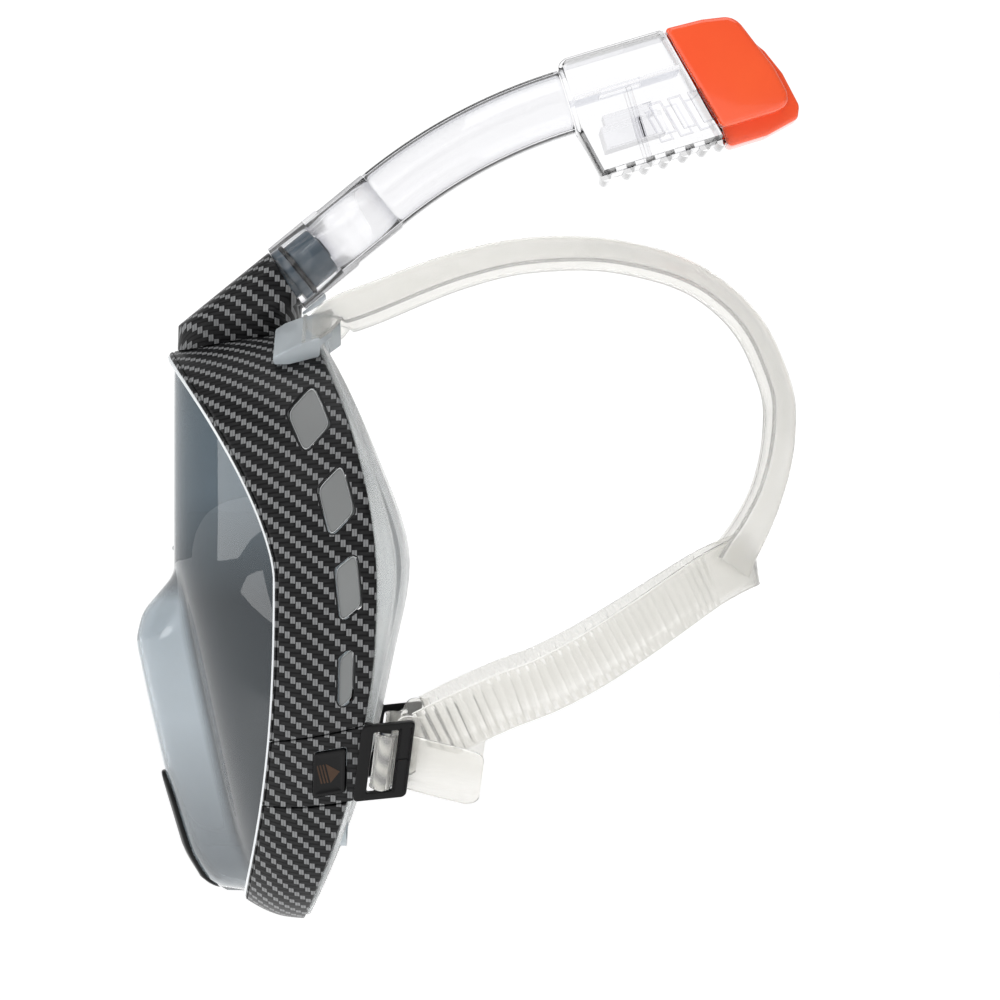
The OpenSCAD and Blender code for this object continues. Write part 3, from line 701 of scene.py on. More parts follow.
# Greyer clear plastic for the slot rims: painted shade in place of refraction at the slot walls
SLOT_RIM_SHADE = clear_plastic("slot_rim_painted_shade", (0.86, 0.86, 0.89), srgb(150, 152, 168), 1.5, IOR=1.2)
FAINT = clear_plastic("faint_clear", (0.97, 0.97, 0.98), srgb(196, 198, 208), 3, IOR=1.02)
FROSTED = clear_plastic("frosted_plastic", srgb(244, 244, 246), srgb(206, 206, 210), 2, IOR=1.06)
CREAM = plastic("white_insert", (226, 220, 204), (240, 236, 224), 60, Roughness=0.3)
ARROW = plastic("arrow_print", (54, 37, 24), (74, 51, 33), 200, Roughness=0.45,
                Specular_IOR_Level=0.25)
ROLLER = roller_glints()

# ---------------------------------------------------------------- frame: bands with the carbon print

CELL = (2.28, 2.05)


def arc_table():
    """Length round the middle outline from angle 0, one value a degree, from -180 to 270."""
    half_w = (FRONT_HALF_W + REAR_HALF_W) / 2
    rise, drop = (FRONT_RISE + REAR_RISE) / 2, (FRONT_DROP + REAR_DROP) / 2
    points = [Vector(egg(t, half_w, rise, drop)) for t in range(-180, 271)]
    lengths = [0.0]
    for a, b in zip(points, points[1:]):
        lengths.append(lengths[-1] + (b - a).length)
    start = lengths[180]
    return [x - start for x in lengths]


ARC = arc_table()


def arc_at(s):
    k = min(max(s + 180, 0), len(ARC) - 1.001)
    i = int(k)
    return ARC[i] + (ARC[i + 1] - ARC[i]) * (k - i)


def weave_uv(t, u, y):
    """Weave cell at a point of the band: across by depth and up by the length round the outline."""
    s = t + SEAM_LEAN * cosd(t) * u
    if s > 90:
        s = 180 - s
    if s < -90:
        s = -180 - s
    return (y / CELL[0], arc_at(s) / CELL[1])


BAND_PROFILE = (
    [(0, 1.9), (0, 0.8), (0.004, 0.3), (0.011, 0.04), (0.019, 0.04), (0.025, 0.3), (0.0285, 0.55),
     (0.032, 0.3), (0.038, 0.04)]
    + [(u, 0) for u in steps(0.06, 0.95, 26)]
    + [(0.975, 0.04), (0.988, 0.3), (0.996, 0.8), (1, 1.5), (1, 2.4), (0.992, 3)]
    + [(u, 3) for u in steps(0.95, 0.04, 12)]
    + [(0.008, 2.9)]
)


def inner_depth(u, d, rear_t):
    """Depth inside the band, thinned to rear_t towards the rear edge."""
    thin = min(1, max(0, (u - 0.75) / 0.2))
    return min(d, BAND_T + (rear_t - BAND_T) * thin)


# Each end of a piece of the band is rounded: share of the soft stretch, and how far the surface drops there
BAND_END = [(0, 0.6), (0.18, 0.22), (0.5, 0.04)]


def band_piece(name, t0, t1, count, rear_at=None, rear_t=BAND_T):
    """Part of the band between two angles, with round edges at its ends; rear_at(t) moves its rear edge."""
    soft = min(0.5, 4.5 / abs(t1 - t0))
    ts = [*(t0 + soft * k for k, _ in BAND_END), *steps(t0 + soft, t1 - soft, count),
          *(t1 - soft * k for k, _ in reversed(BAND_END))]
    drops = {}
    for i, (_, drop) in enumerate(BAND_END):
        drops[i] = drops[len(ts) - 1 - i] = drop
    sections, uv = [], []
    for i, t in enumerate(ts):
        lower = drops.get(i, 0)
        row = []
        rear_u = rear_at(t) if rear_at else 1
        for u, d in BAND_PROFILE:
            deep = min(d + lower, BAND_T - 0.3) if d < 2 else d
            p = band(t, u * rear_u, inner_depth(u, deep, rear_t))
            row.append(p)
            uv.append(weave_uv(t, u * rear_u, p[1]))
        sections.append(row)
    return piece(name, sweep(sections), CARBON, uv=uv, sharp=50)


# The windows of the left side in Y and Z, as (middle, short side, long side) rows
WINDOWS = [
    ((-27, 79), (-9.5, -11), (7, -15.5)),
    ((-15.5, 46), (-9, -9.5), (5, -18.5)),
    ((-10.5, 11), (-7.5, -6), (2, -20.5)),
    ((-11.5, -25.5), (-4.5, -4), (-0.5, -19.5)),
]
WINDOW_ROUND = 1.6
WINDOW_GROW = 0.6


def window_loop(w, grow):
    """Parallelogram with round corners in Y and Z, grow millimetres larger all round."""
    n = 5
    middle, short, long = (Vector(v) for v in w)
    short_dir, long_dir = short.normalized(), long.normalized()
    short_half = short_dir * (short.length / 2 - WINDOW_ROUND)
    long_half = long_dir * (long.length / 2 - WINDOW_ROUND)
    corners = [middle + i * short_half + j * long_half for i, j in ((1, 1), (-1, 1), (-1, -1), (1, -1))]
    found = []
    for k, corner in enumerate(corners):
        before, after = corner - corners[k - 1], corners[(k + 1) % 4] - corner
        a0 = math.atan2(before.y, before.x)
        a1 = math.atan2(after.y, after.x)
        turn = (a1 - a0 + math.pi) % (2 * math.pi) - math.pi
        sign = 1 if turn > 0 else -1
        for step in range(n + 1):
            a = a0 + turn * step / n - sign * math.pi / 2
            found.append(corner + (WINDOW_ROUND + grow) * Vector((math.cos(a), math.sin(a))))
    return found


def window_cutter(w, side):
    """Cutter for a window: straight walls, with a bevel that follows the band's surface."""
    rows = []
    for depth, grow in ((9, 0), (0.75, 0), (0.3, 0.22), (-0.1, 0.62), (-4, 4)):
        loop = window_loop(w, WINDOW_GROW + grow)
        rows.append([(side * band_x(p.x, p.y, depth), p.x, p.y) for p in loop])
    return sweep(rows)


upper = band_piece("band_upper", SEAM_A + 0.1, 179.9 - SEAM_A, 190)
for side in SIDES:
    cut(upper, *(window_cutter(w, side) for w in WINDOWS))
cut(upper, block(-15, 15, -76, -42, 90, 130))
finish_piece(upper, "mask", "carbon_print", "frame_upper")

chin = band_piece("band_chin", 180 - SEAM_B + 0.1, 359.9 + SEAM_B, 90)
finish_piece(chin, "mask", "carbon_print", "frame_chin")

# Sections of an insert as (scale, depth below the band) pairs: its pane, and the rim round it
PANE = [(0.02, 0.85), (0.45, 0.85), (0.92, 0.85), (0.935, 1.2), (0.935, 2.2), (0.02, 2.2)]
PANE_RIM = [
    (0.937, 2.2), (0.937, 0.95), (0.945, 0.62), (0.96, 0.52), (0.975, 0.66), (0.985, 1.0), (0.985, 2.2),
]
INSERT_CORNER = 0.34


def insert_shell(w, side, sections, loop=False):
    """Shell that fills or rims a window."""
    middle, short, long = (Vector(v) for v in w)
    short_half, long_half = (v * (0.5 + WINDOW_GROW / v.length) for v in (short, long))

    def at(section, t):
        k, depth = section
        across, along = spow(cosd(t), INSERT_CORNER), spow(sind(t), INSERT_CORNER)
        p = middle + k * (across * short_half + along * long_half)
        return (side * band_x(p.x, p.y, depth), p.x, p.y)

    return sweep(grid(sections, turns(72), at), loop)


def window_inserts(side):
    name = SIDES[side]
    panes = joined(*(insert_shell(w, side, PANE) for w in WINDOWS))
    insert = piece(f"window_panes_{name}", panes, GREY_INSERT)
    finish_piece(insert, "mask", "grey_insert", f"window_inserts_{name}")
    rims = joined(*(insert_shell(w, side, PANE_RIM, loop=True) for w in WINDOWS))
    rim = piece(f"window_rims_{name}", rims, RIM_GREY, sharp=60)
    finish_piece(rim, "mask", "grey_insert")


# ---------------------------------------------------------------- side clips, buttons and buckles

BUTTON_T = -33.9
BUTTON_U = 0.715
BUTTON_SIZE = (14.4, 18.8)
BUTTON_SHEAR = 0.28
CLIP_REACH = 0.1
CLIP_REAR_T = 1.2


def button_matrix():
    """Frame of the button: X to the rear, Y up along the band, Z outward."""
    def at(t, u):
        return Vector(band(BUTTON_T + t, BUTTON_U + u, 0))

    back = (at(0, 0.1) - at(0, -0.1)).normalized()
    rise = (at(3, 0) - at(-3, 0)).normalized()
    out = back.cross(rise).normalized()
    up = out.cross(back)
    matrix = Matrix((back, up, out)).transposed().to_4x4()
    matrix.translation = at(0, 0)
    return matrix


BUTTON = button_matrix()


def leaning(loop):
    """Loop whose sides lean to the rear."""
    return [(x + BUTTON_SHEAR * y, y) for x, y in loop]


def rising(loop, about):
    """Loop whose top and bottom rise to the rear."""
    return [(x, y + BAR_RISE * (x - about)) for x, y in loop]


def clip_rear(t):
    """How far back the clip reaches at angle t."""
    return 1 + CLIP_REACH * (SEAM_A - t) / (SEAM_A - SEAM_B)


def side_clip(side):
    """Clip between the upper frame and the chin, with the button's hole and the buckle's hinge."""
    name = SIDES[side]
    body = band_piece(f"clip_band_{name}", SEAM_B + 0.2, SEAM_A - 0.2, 30, clip_rear, CLIP_REAR_T)
    hole = leaning(round_rect(*BUTTON_SIZE, 1.5))
    flare = leaning(round_rect(BUTTON_SIZE[0] + 1.0, BUTTON_SIZE[1] + 1.0, 2.0))
    cut(body, placed(sweep(stack([(hole, -8), (hole, -0.6), (flare, 0.5), (flare, 6)])), BUTTON))
    if side < 0:
        body.data.transform(Matrix.Scale(-1, 4, (1, 0, 0)))
        body.data.flip_normals()
    finish_piece(body, "mask", "carbon_print", f"side_clip_{name}")
    knuckle = joined(rod(1.8, 13, at=(0, 0, -0.9)), block(-2, 1, -6.5, 6.5, -4.3, -0.9))
    hinge = side_piece("clip_hinge", knuckle, BUCKLE, side, BLACK)
    finish_piece(hinge, "mask", "black_plastic")


# Button's sections as (inset, height) pairs, from its hidden plate to its dished face
BUTTON_LEVELS = [
    (2.6, -2.4), (2.6, -1.5), (0, -1.4), (0, 0.45), (0.12, 0.72), (0.45, 0.9), (1.3, 0.86), (1.6, 0.62),
    (4, 0.55),
]
BUTTON_GAP = 0.35
PRINT = (0.5, 0.66)


def button(side):
    """Push button with its printed arrow."""
    name = SIDES[side]
    w, h = (size - 2 * BUTTON_GAP for size in BUTTON_SIZE)

    def loop(inset):
        return leaning(round_rect(w - 2 * inset, h - 2 * inset, max(0.4, 1.2 - inset)))

    plate = sweep(stack((loop(inset), level) for inset, level in BUTTON_LEVELS))
    cap = side_piece("button_cap", plate, BUTTON, side, BLACK)
    finish_piece(cap, f"button_{name}", "black_plastic", f"release_button_{name}")
    marks = [prism([(-0.4, -4.1), (4.6, 0), (-0.4, 4.1)], *PRINT)]
    for x in (-1.2, -2.5, -3.8):
        marks.append(block(x - 0.65, x, -3.9, 3.9, *PRINT))
    arrow = side_piece("button_arrow", joined(*marks), BUTTON, side, ARROW)
    finish_piece(arrow, f"button_{name}", "black_plastic")


BUCKLE_LEN = 21
BUCKLE_MID = BUCKLE_LEN / 2 - 2.6
BUCKLE_HALF_H = 16.1
BUCKLE_WINDOW = (10, 26)
STRAP_LOOP_R = ROLLER_R + 0.3 + STRAP_T / 2


def shifted(loop, dx, dy=0):
    return [(x + dx, y + dy) for x, y in loop]


def open_plate(outer, inner, low, high):
    """Plate with a window: both loops have the same number of points."""
    return sweep(stack([(outer, low), (outer, high), (inner, high), (inner, low)]), loop=True)


def buckle(side):
    """Open frame round the roller, with its rear bar's ridges and its hinge knuckles."""
    name = SIDES[side]
    outer = rising(shifted(round_rect(BUCKLE_LEN, 2 * BUCKLE_HALF_H, 2), BUCKLE_MID), BUCKLE_MID)
    inner = rising(shifted(round_rect(*BUCKLE_WINDOW, 1), ROLLER_V), ROLLER_V)
    shell = open_plate(outer, inner, -1.7, 1.7)
    plate = side_piece("buckle_frame", shell, BUCKLE, side, BLACK)
    bevel(plate, 0.55, 3)
    finish_piece(plate, f"buckle_frame_{name}", "black_plastic", f"buckle_{name}")
    rear_bar = (
        rising(shifted(round_rect(w, h, 0.5), x), BUCKLE_MID)
        for x, w, h in ((13.0, 0.9, 27), (17.4, 0.9, 27), (15.2, 5.2, 1.0))
    )
    tabs = (
        prism(rising(shifted(round_rect(4.4, 3.2, 0.6), ROLLER_V, y), ROLLER_V), -1.2, 1.5)
        for y in (11.6, -11.9)
    )
    ridge = joined(
        *(prism(loop, 1.6, 2.15) for loop in rear_bar), *tabs,
        rod(1.75, 7.4, at=(0, 10.9, -0.9)), rod(1.75, 7.4, at=(0, -10.9, -0.9)),
    )
    trim = side_piece("buckle_trim", ridge, BUCKLE, side, BLACK)
    bevel(trim, 0.2, 2)
    finish_piece(trim, f"buckle_frame_{name}", "black_plastic")


def roller(side):
    """Clear rod with three ridges that wind round it."""
    def at(y, t):
        r = ROLLER_R - 0.16 + 0.16 * cosd(3 * t + y * 14)
        return (ROLLER_V + r * cosd(t), y, r * sind(t))

    shell = sweep(grid(steps(-12.2, 12.2, 60), turns(48), at))
    body = side_piece("roller_rod", shell, BUCKLE, side, ROLLER)
    finish_piece(body, f"strap_roller_{SIDES[side]}", "clear_plastic", f"roller_{SIDES[side]}")


for side in SIDES:
    window_inserts(side)
    side_clip(side)
    button(side)
    buckle(side)
    roller(side)

# ---------------------------------------------------------------- visor and its rim

VISOR_ROWS = [0.02, 0.05, 0.09] + steps(0.13, 0.91, 30) + [0.94, 0.965, 0.985, 1.0]


def valve_bore():
    """Cutter for the purge valve's bore, through the lens and the nose pocket."""
    at = (0, visor_y(0, CHIN_VALVE_Z), CHIN_VALVE_Z)
    return placed(round_cutter(CHIN_VALVE_R, -CHIN_WELL - 8, 6), turned(at, (90 + CHIN_VALVE_TILT, "X")))


def visor():
    """Lens: outer and inner surface with a rim that reaches into the frame."""
    half_w, rise, drop = (v - VISOR_EDGE for v in (FRONT_HALF_W, FRONT_RISE, FRONT_DROP))
    edge = [egg(t, half_w, rise, drop) for t in turns(176)]
    shrink = 1 - VISOR_T / FRONT_HALF_W
    outer, inner = [], []
    for k in VISOR_ROWS:
        flat = [(x * k, (z - WIDE_Z) * k + WIDE_Z) for x, z in edge]
        outer.append([(x, visor_y(x, z), z) for x, z in flat])
        inner.append([(x * shrink, visor_y(x, z) + VISOR_T, (z - WIDE_Z) * shrink + WIDE_Z) for x, z in flat])
    rim = [(x, y + VISOR_RIM, z) for x, y, z in outer[-1]]
    in_rim = [(x, y + VISOR_RIM - VISOR_T, z) for x, y, z in inner[-1]]
    lens = piece("visor_lens", sweep([*outer, rim, in_rim, *reversed(inner)]), LENS, sharp=60)
    cut(lens, valve_bore())
    finish_piece(lens, "mask", "smoked_lens", "visor")


# The bead's section as (depth below the frame's surface, distance behind its front edge) pairs
HIGHLIGHT_BEAD_SECTION = [(0.9, 0.2), (1.2, -0.55), (2.0, -0.85), (2.9, -0.5), (3.2, 0.6), (3.2, 2.4), (1.0, 2.4)]


def highlight_bead():
    """Pale bead between the lens and the frame's front edge; its pale colour is a painted highlight along
    that edge.
    """
    def at(t, section):
        depth, back = section
        f = Vector(egg(t, FRONT_HALF_W, FRONT_RISE, FRONT_DROP))
        q = f - egg_out(f, FRONT_HALF_W, FRONT_RISE, FRONT_DROP) * depth
        return (q.x, front_y(f.y) + back, q.y)

    bead = piece("highlight_bead", sweep(grid(turns(240), HIGHLIGHT_BEAD_SECTION, at), loop=True), BEAD_HIGHLIGHT, sharp=70)
    finish_piece(bead, "mask", "milky_silicone")


COVER_MID = -91.5
COVER_HALF = (10.5, 24.5)
# The cover's sections as (scale, height above the lens) pairs
COVER_LEVELS = [
    (0.03, 1.9), (0.3, 1.9), (0.6, 1.9), (0.85, 1.9), (0.95, 1.8), (0.985, 1.5), (1, 1.0), (1, 0.3),
    (0.8, 0.3), (0.4, 0.3), (0.03, 0.3),
]


def purge_cover():
    def at(level, t):
        k, off = level
        x = k * COVER_HALF[0] * spow(cosd(t), 0.5)
        z = COVER_MID + k * COVER_HALF[1] * spow(sind(t), 0.5)
        return (x, visor_y(x, z) - off, z)

    cover = piece("purge_cover", sweep(grid(COVER_LEVELS, turns(64), at)), BLACK)
    finish_piece(cover, "mask", "black_plastic", "chin_valve_cover")


# The nub's sections as (radius, distance in front of the origin) pairs
NUB = [(1.3, 85.4), (1.3, 86.3), (1.1, 86.8), (0.7, 87.1), (0.1, 87.2)]
NUB_Z = 26


def visor_nub():
    """Small moulding nub on the middle of the lens."""
    rows = [[(r * cosd(t), -y, NUB_Z + r * sind(t)) for t in turns(24)] for r, y in NUB]
    nub = piece("visor_nub", sweep(rows), LENS)
    finish_piece(nub, "mask", "smoked_lens")


visor()
visor_nub()
highlight_bead()
purge_cover()

# ---------------------------------------------------------------- soft parts of the mask

SEAL_MID = 22
SEAL_REACH = 36
# From the clamp to the lip and back: (distance inside the frame's edge, share of the skirt's depth) pairs
SEAL_SECTION = [
    (1.6, 0.4), (2.4, 0.75), (5.5, 1), (14, 0.96), (23, 0.62), (27, 0.2), (25.5, 0.16), (21.5, 0.44),
    (14, 0.7), (8, 0.68), (6.6, 0.4),
]


def seal_at(t):
    """Depth of the skirt: full at the cheekbones and shallow at the forehead and the chin."""
    z = behind(t, 0, 0)[2]
    return SEAL_DEPTH * (0.32 + 0.68 * math.exp(-(((z - SEAL_MID) / SEAL_REACH) ** 2)))


def skirt():
    """Face seal that hangs behind the frame and turns inwards to a thin lip."""
    rows = []
    for t in turns(170):
        clamped = [behind(t, 6.6, 0.3), behind(t, 2.2, 0.3)]
        free = [behind(t, inset, share * seal_at(t)) for inset, share in SEAL_SECTION]
        rows.append(closed_spline(clamped + free, 3))
    seal = piece("face_skirt", sweep(rows, loop=True), SILICONE, sharp=70)
    finish_piece(seal, "mask", "milky_silicone", "skirt")


def clamp_ring():
    """Black ring between the frame's rear edge and the skirt."""
    rows = []
    for t in turns(180):
        rows.append([band(t, 0.9, 3.3), band(t, 0.97, 3.3), behind(t, 6.2, -1), band(t, 0.9, 6.2)])
    ring = piece("clamp_ring", sweep(rows, loop=True), BLACK)
    finish_piece(ring, "mask", "black_plastic", "rear_frame")


POCKET_RISE = 72
POCKET_DROP = 68
POCKET_SHIFT = -46
POCKET_WALL = 1.6
POCKET_ROWS = [0.03, 0.1, 0.2, 0.3, 0.4, 0.5, 0.6, 0.68, 0.76, 0.83, 0.89, 0.94, 0.975, 1]
POCKET_REAR = -14
INHALE_AT = (0, -34, -8)
INHALE_R = 11.2


def nose_pocket():
    """Cup over nose and mouth: it follows the lens, and its rear edge is flat."""
    middle = WIDE_Z + POCKET_SHIFT
    shrink = 1 - POCKET_WALL / BULGE_HALF_W

    def at(k, t):
        x, z = egg(t, BULGE_HALF_W - 1, POCKET_RISE, POCKET_DROP)
        x, z = x * k, (z - WIDE_Z) * k + middle
        return (x, min(visor_y(x, z) + 5, INHALE_AT[1]), z)

    def inside(x, y, z):
        return (x * shrink, y + POCKET_WALL, (z - middle) * shrink + middle)

    front = grid(POCKET_ROWS, turns(96), at)
    back = [[inside(*p) for p in row] for row in front]
    rim, in_rim = ([(x, POCKET_REAR, z) for x, _, z in rows[-1]] for rows in (front, back))
    cup = piece("nose_cup", sweep([*front, rim, in_rim, *reversed(back)]), POCKET, sharp=50)
    cut(cup, placed(round_cutter(INHALE_R, -100, 100), turned(INHALE_AT, (90, "Y"))), valve_bore())
    finish_piece(cup, "mask", "milky_silicone", "nose_pocket")


skirt()
clamp_ring()
nose_pocket()

# ---------------------------------------------------------------- elbow, spigot and tube

ELBOW_MID = -59
ELBOW_TILT = 57.8


def roof_z(x, y):
    """Height of the band's surface over the forehead at x, y."""
    front = front_y(WIDE_Z + FRONT_RISE)
    u = (y - front) / (rear_y(WIDE_Z + REAR_RISE) - front)
    half_w = FRONT_HALF_W + (REAR_HALF_W - FRONT_HALF_W) * u
    rise = FRONT_RISE + (REAR_RISE - FRONT_RISE) * u
    return WIDE_Z + rise * (1 - (abs(x) / half_w) ** (2 / EGG_E)) ** (EGG_E / 2) + BAND_CROWN * sind(180 * u)


def elbow():
    """Duct from the frame's roof to the tube's foot, with a crease round it above the roof."""
    def ring(a, b, place):
        return [place(a * spow(cosd(t), 0.55), b * spow(sind(t), 0.55)) for t in turns(120)]

    def foot(x, y):
        return Vector((x, ELBOW_MID + y, roof_z(x, ELBOW_MID + y) + 0.3))

    def crease(x, y):
        return Vector((x, ELBOW_MID + y + 0.4, 119 + 0.16 * (ELBOW_MID + y + 84.4)))

    def mouth(x, y):
        return Vector((x, TUBE_FOOT[1] + y * cosd(ELBOW_TILT), TUBE_FOOT[2] - y * sind(ELBOW_TILT)))

    def mouth_ring(k):
        return ring(20.5 - k, 13.3 - k, mouth)

    def between(a, b, share, swell=0.0):
        row = []
        for p, q in zip(a, b):
            m = p.lerp(q, share)
            row.append(m + Vector((math.copysign(swell, m.x) if abs(m.x) > 1 else 0, 0, 0)))
        return row

    low, mid, top = ring(23, 25.6, foot), ring(27, 25.6, crease), mouth_ring(0)
    rows = [low, *(between(low, mid, share) for share in (0.06, 0.5, 0.93, 0.985))]
    rows += [between(mid, top, share) for share in (0.02, 0.06)]
    rows += [between(mid, top, share, 0.6 * sind(180 * share)) for share in (0.2, 0.35, 0.5, 0.65, 0.8, 0.93)]
    rows += [between(mid, top, 0.985), between(top, mouth_ring(0.5), 0.6), mouth_ring(0.9)]
    rows += [mouth_ring(2.4), ring(24.6, 23.2, crease), ring(20.6, 23.2, foot)]
    uv = []
    for row in rows:
        reach = max(abs(p.x) for p in row)
        uv += [(p.y / CELL[0], (p.z + 27 * (1 - abs(p.x) / reach)) / CELL[1]) for p in row]
    duct = piece("elbow_duct", sweep(rows, loop=True), CARBON, uv=uv, sharp=40)
    finish_piece(duct, "mask", "carbon_print", "elbow")


# Sections along the tube as (length, height, width): neck, flange, the seal's groove and the nose
SPIGOT = [
    (-9, 18, 26), (1.8, 18, 26), (1.9, 24, 32), (2.2, 24.4, 32.4), (5.3, 24.4, 32.4), (5.6, 24, 32),
    (5.65, 19.6, 27.6), (7.85, 19.6, 27.6), (7.9, 21.2, 29.2), (8.2, 21.6, 29.6), (20.0, 21.6, 29.6),
    (20.4, 21.0, 29.0),
]
SEAL_RING_AT = 6.75


def spigot():
    """Spigot on the elbow that the tube's socket slides over, with its seal."""
    shell = sweep(stack((stadium(h, w), a) for a, h, w in SPIGOT))
    body = piece("spigot_body", placed(shell, ALONG_TUBE), SLATE)
    cut(body, *(placed(prism(loop, -10, 30), ALONG_TUBE) for loop in ducts(15.2, 23.2)))
    finish_piece(body, "mask", "slate_plastic", "spigot")
    levels = []
    for t in turns(12):
        grown = 1.7 * cosd(t)
        levels.append((stadium(23.2 + grown, 31.2 + grown), SEAL_RING_AT + sind(t)))
    ring = piece("seal_ring", placed(sweep(stack(levels), loop=True), ALONG_TUBE), RUBBER, sharp=80)
    finish_piece(ring, "mask", "black_rubber", "spigot_o_ring")


# The socket's sections as (length along the tube, height) pairs, and where its bore and its ducts end
SOCKET = [
    (5, 29.4), (15, 29.4), (26.6, 29.4), (27.4, 29.25), (27.9, 28.7), (28.4, 28.15), (29.2, 28), (40, 28),
    (51.4, 28), (51.9, 27.8), (52.15, 27.4),
]
BORE_END = 20.7
SOCKET_END = 52.15


def socket():
    """Clear socket: its mouth lies on the elbow's face, then the bore, then the three ducts."""
    def mouth(h, off):
        return [(x, y, 0.35 - 0.1262 * x + off) for x, y in stadium(h, h + 8)]

    bore = stadium(25, 33)
    lanes = ducts(TUBE_H - 2 * TUBE_T, TUBE_W - 2 * TUBE_T)
    outside = [mouth(28.7, 0), mouth(29.15, 0.12), mouth(29.4, 0.4)]
    outside += stack((stadium(h, h + 8), a) for a, h in SOCKET)
    inside = [mouth(25.3, 0), mouth(25, 0.5), *stack([(bore, BORE_END)])]
    shells = [walls(outside), walls(inside), walls([outside[0], inside[0]])]
    shells += [walls(stack((lane, a) for a in (BORE_END, 36, SOCKET_END))) for lane in lanes]
    for loop, a in ((bore, BORE_END), (stadium(27.4, 35.4), SOCKET_END)):
        shells.append(flat_cap([loop, *lanes], lambda x, y, a=a: (x, y, a)))
    sleeve = piece("tube_sleeve", placed(joined(*shells), ALONG_TUBE), CLEAR, sharp=40)
    turn_outwards(sleeve.data, WELD)
    finish_piece(sleeve, "snorkel", "clear_plastic", "tube_socket")


BEND_FROM = (TUBE_FOOT[1] + SOCKET_LEN * cosd(TUBE_RISE), TUBE_FOOT[2] + SOCKET_LEN * sind(TUBE_RISE))
BEND_MID = (BEND_FROM[0] + TUBE_BEND_R * sind(TUBE_RISE), BEND_FROM[1] - TUBE_BEND_R * cosd(TUBE_RISE))


def bent(x, y, rise):
    """Point of the bent tube's section where the tube rises by rise; x is towards its underside."""
    r = TUBE_BEND_R - x
    return (y, BEND_MID[0] - r * sind(rise), BEND_MID[1] + r * cosd(rise))


def curved_tube():
    lanes = ducts(TUBE_H - 2 * TUBE_T, TUBE_W - 2 * TUBE_T)
    shell = pipe(stadium(TUBE_H, TUBE_W), lanes, steps(TUBE_RISE, TOP_RISE, 40), bent)
    tube = piece("curved_tube", shell, CLEAR, sharp=40)
    turn_outwards(tube.data, WELD)
    finish_piece(tube, "snorkel", "clear_plastic", "snorkel_tube")


def latch():
    outline = [(15.1, -3.2), (15.7, -3.8), (17.2, 4.6), (16.6, 8), (15.1, 9)]
    shell = sweep([[(x, y, a) for x, a in outline] for y in (-6, 6)])
    catch = piece("tube_catch", placed(shell, ALONG_TUBE), CLIP)
    bevel(catch, 0.35, 2)
    finish_piece(catch, "mask", "clear_plastic", "tube_latch")


elbow()
spigot()
socket()
curved_tube()
latch()

# ---------------------------------------------------------------- dry top

HOUSING = [(3.2, -13), (3.2, 15.2), (7, 16.8), (49.5, 16.4), (61, -34.5), (7.5, -34.5)]
HOUSING_INNER = [(5.2, -12.4), (5.2, 14), (8, 14.8), (49.8, 14.4), (60, -32.5), (9.2, -32.5)]
CAP = [(50, 16.4), (66, 15.6), (77, 13.6), (80.6, 10.4), (84.5, 0), (89, -12), (91.4, -24), (90, -28.5),
       (86, -30), (61, -30)]
CAP_INNER = [(49, 14), (66, 13.4), (76, 11.4), (82.3, -0.6), (86.6, -12), (88.6, -24), (86, -27.4),
             (60, -27.6)]
LOBE = [(62, 10), (80, 8), (88, -4), (92.4, -15), (95.2, -30), (93, -35), (78.7, -38), (63, -38), (61.5, -36)]
LOBE_INNER = [(60, 8), (80, 6), (90, -15), (92.6, -30), (78.7, -35.6), (60, -35.6)]
LOBE_W = 25
LUGS_AT = (9, 19.2, 26.9, 35.4, 43.9, 52.3, 60)
SLOTS_AT = (35, 43.5, 52.2)
TEETH_AT = (14, 22.5, 31, 39.5, 48)
# Boxes of the floor round the duct's port, as (low X, high X, low length, high length) rows
TOP_FLOOR = [(-19.8, 19.8, 6, 17), (-19.8, 19.8, 35, 51.5), (-19.8, -9, 17.1, 34.9), (9, 19.8, 17.1, 34.9)]
CAP_LEAN = 12.2
CAP_FROM = 52.6


def top_box(x0, x1, a0, a1, b0, b1):
    return placed(block(x0, x1, a0, a1, b0, b1), IN_TOP)


def slanted_slot(a, s, grow=0.0, out=3.0, deep=3.0):
    """Side slot that leans with the cap's seam, as a cutter or as the body of its rim."""
    lean = math.tan(math.radians(CAP_LEAN + 2)) * 0.9
    low, high, wide = -25.2 - grow, -12.4 + grow, 4.2 + grow
    corners = ((-grow, low), (wide, low), (wide, high), (-grow, high))
    loop = [(a + (-b - 12.4) * lean + k, b) for k, b in corners]
    x = s * TOP_W / 2
    return placed(sweep([[(x + s * d, p, q) for p, q in loop] for d in (-deep, out)]), IN_TOP)


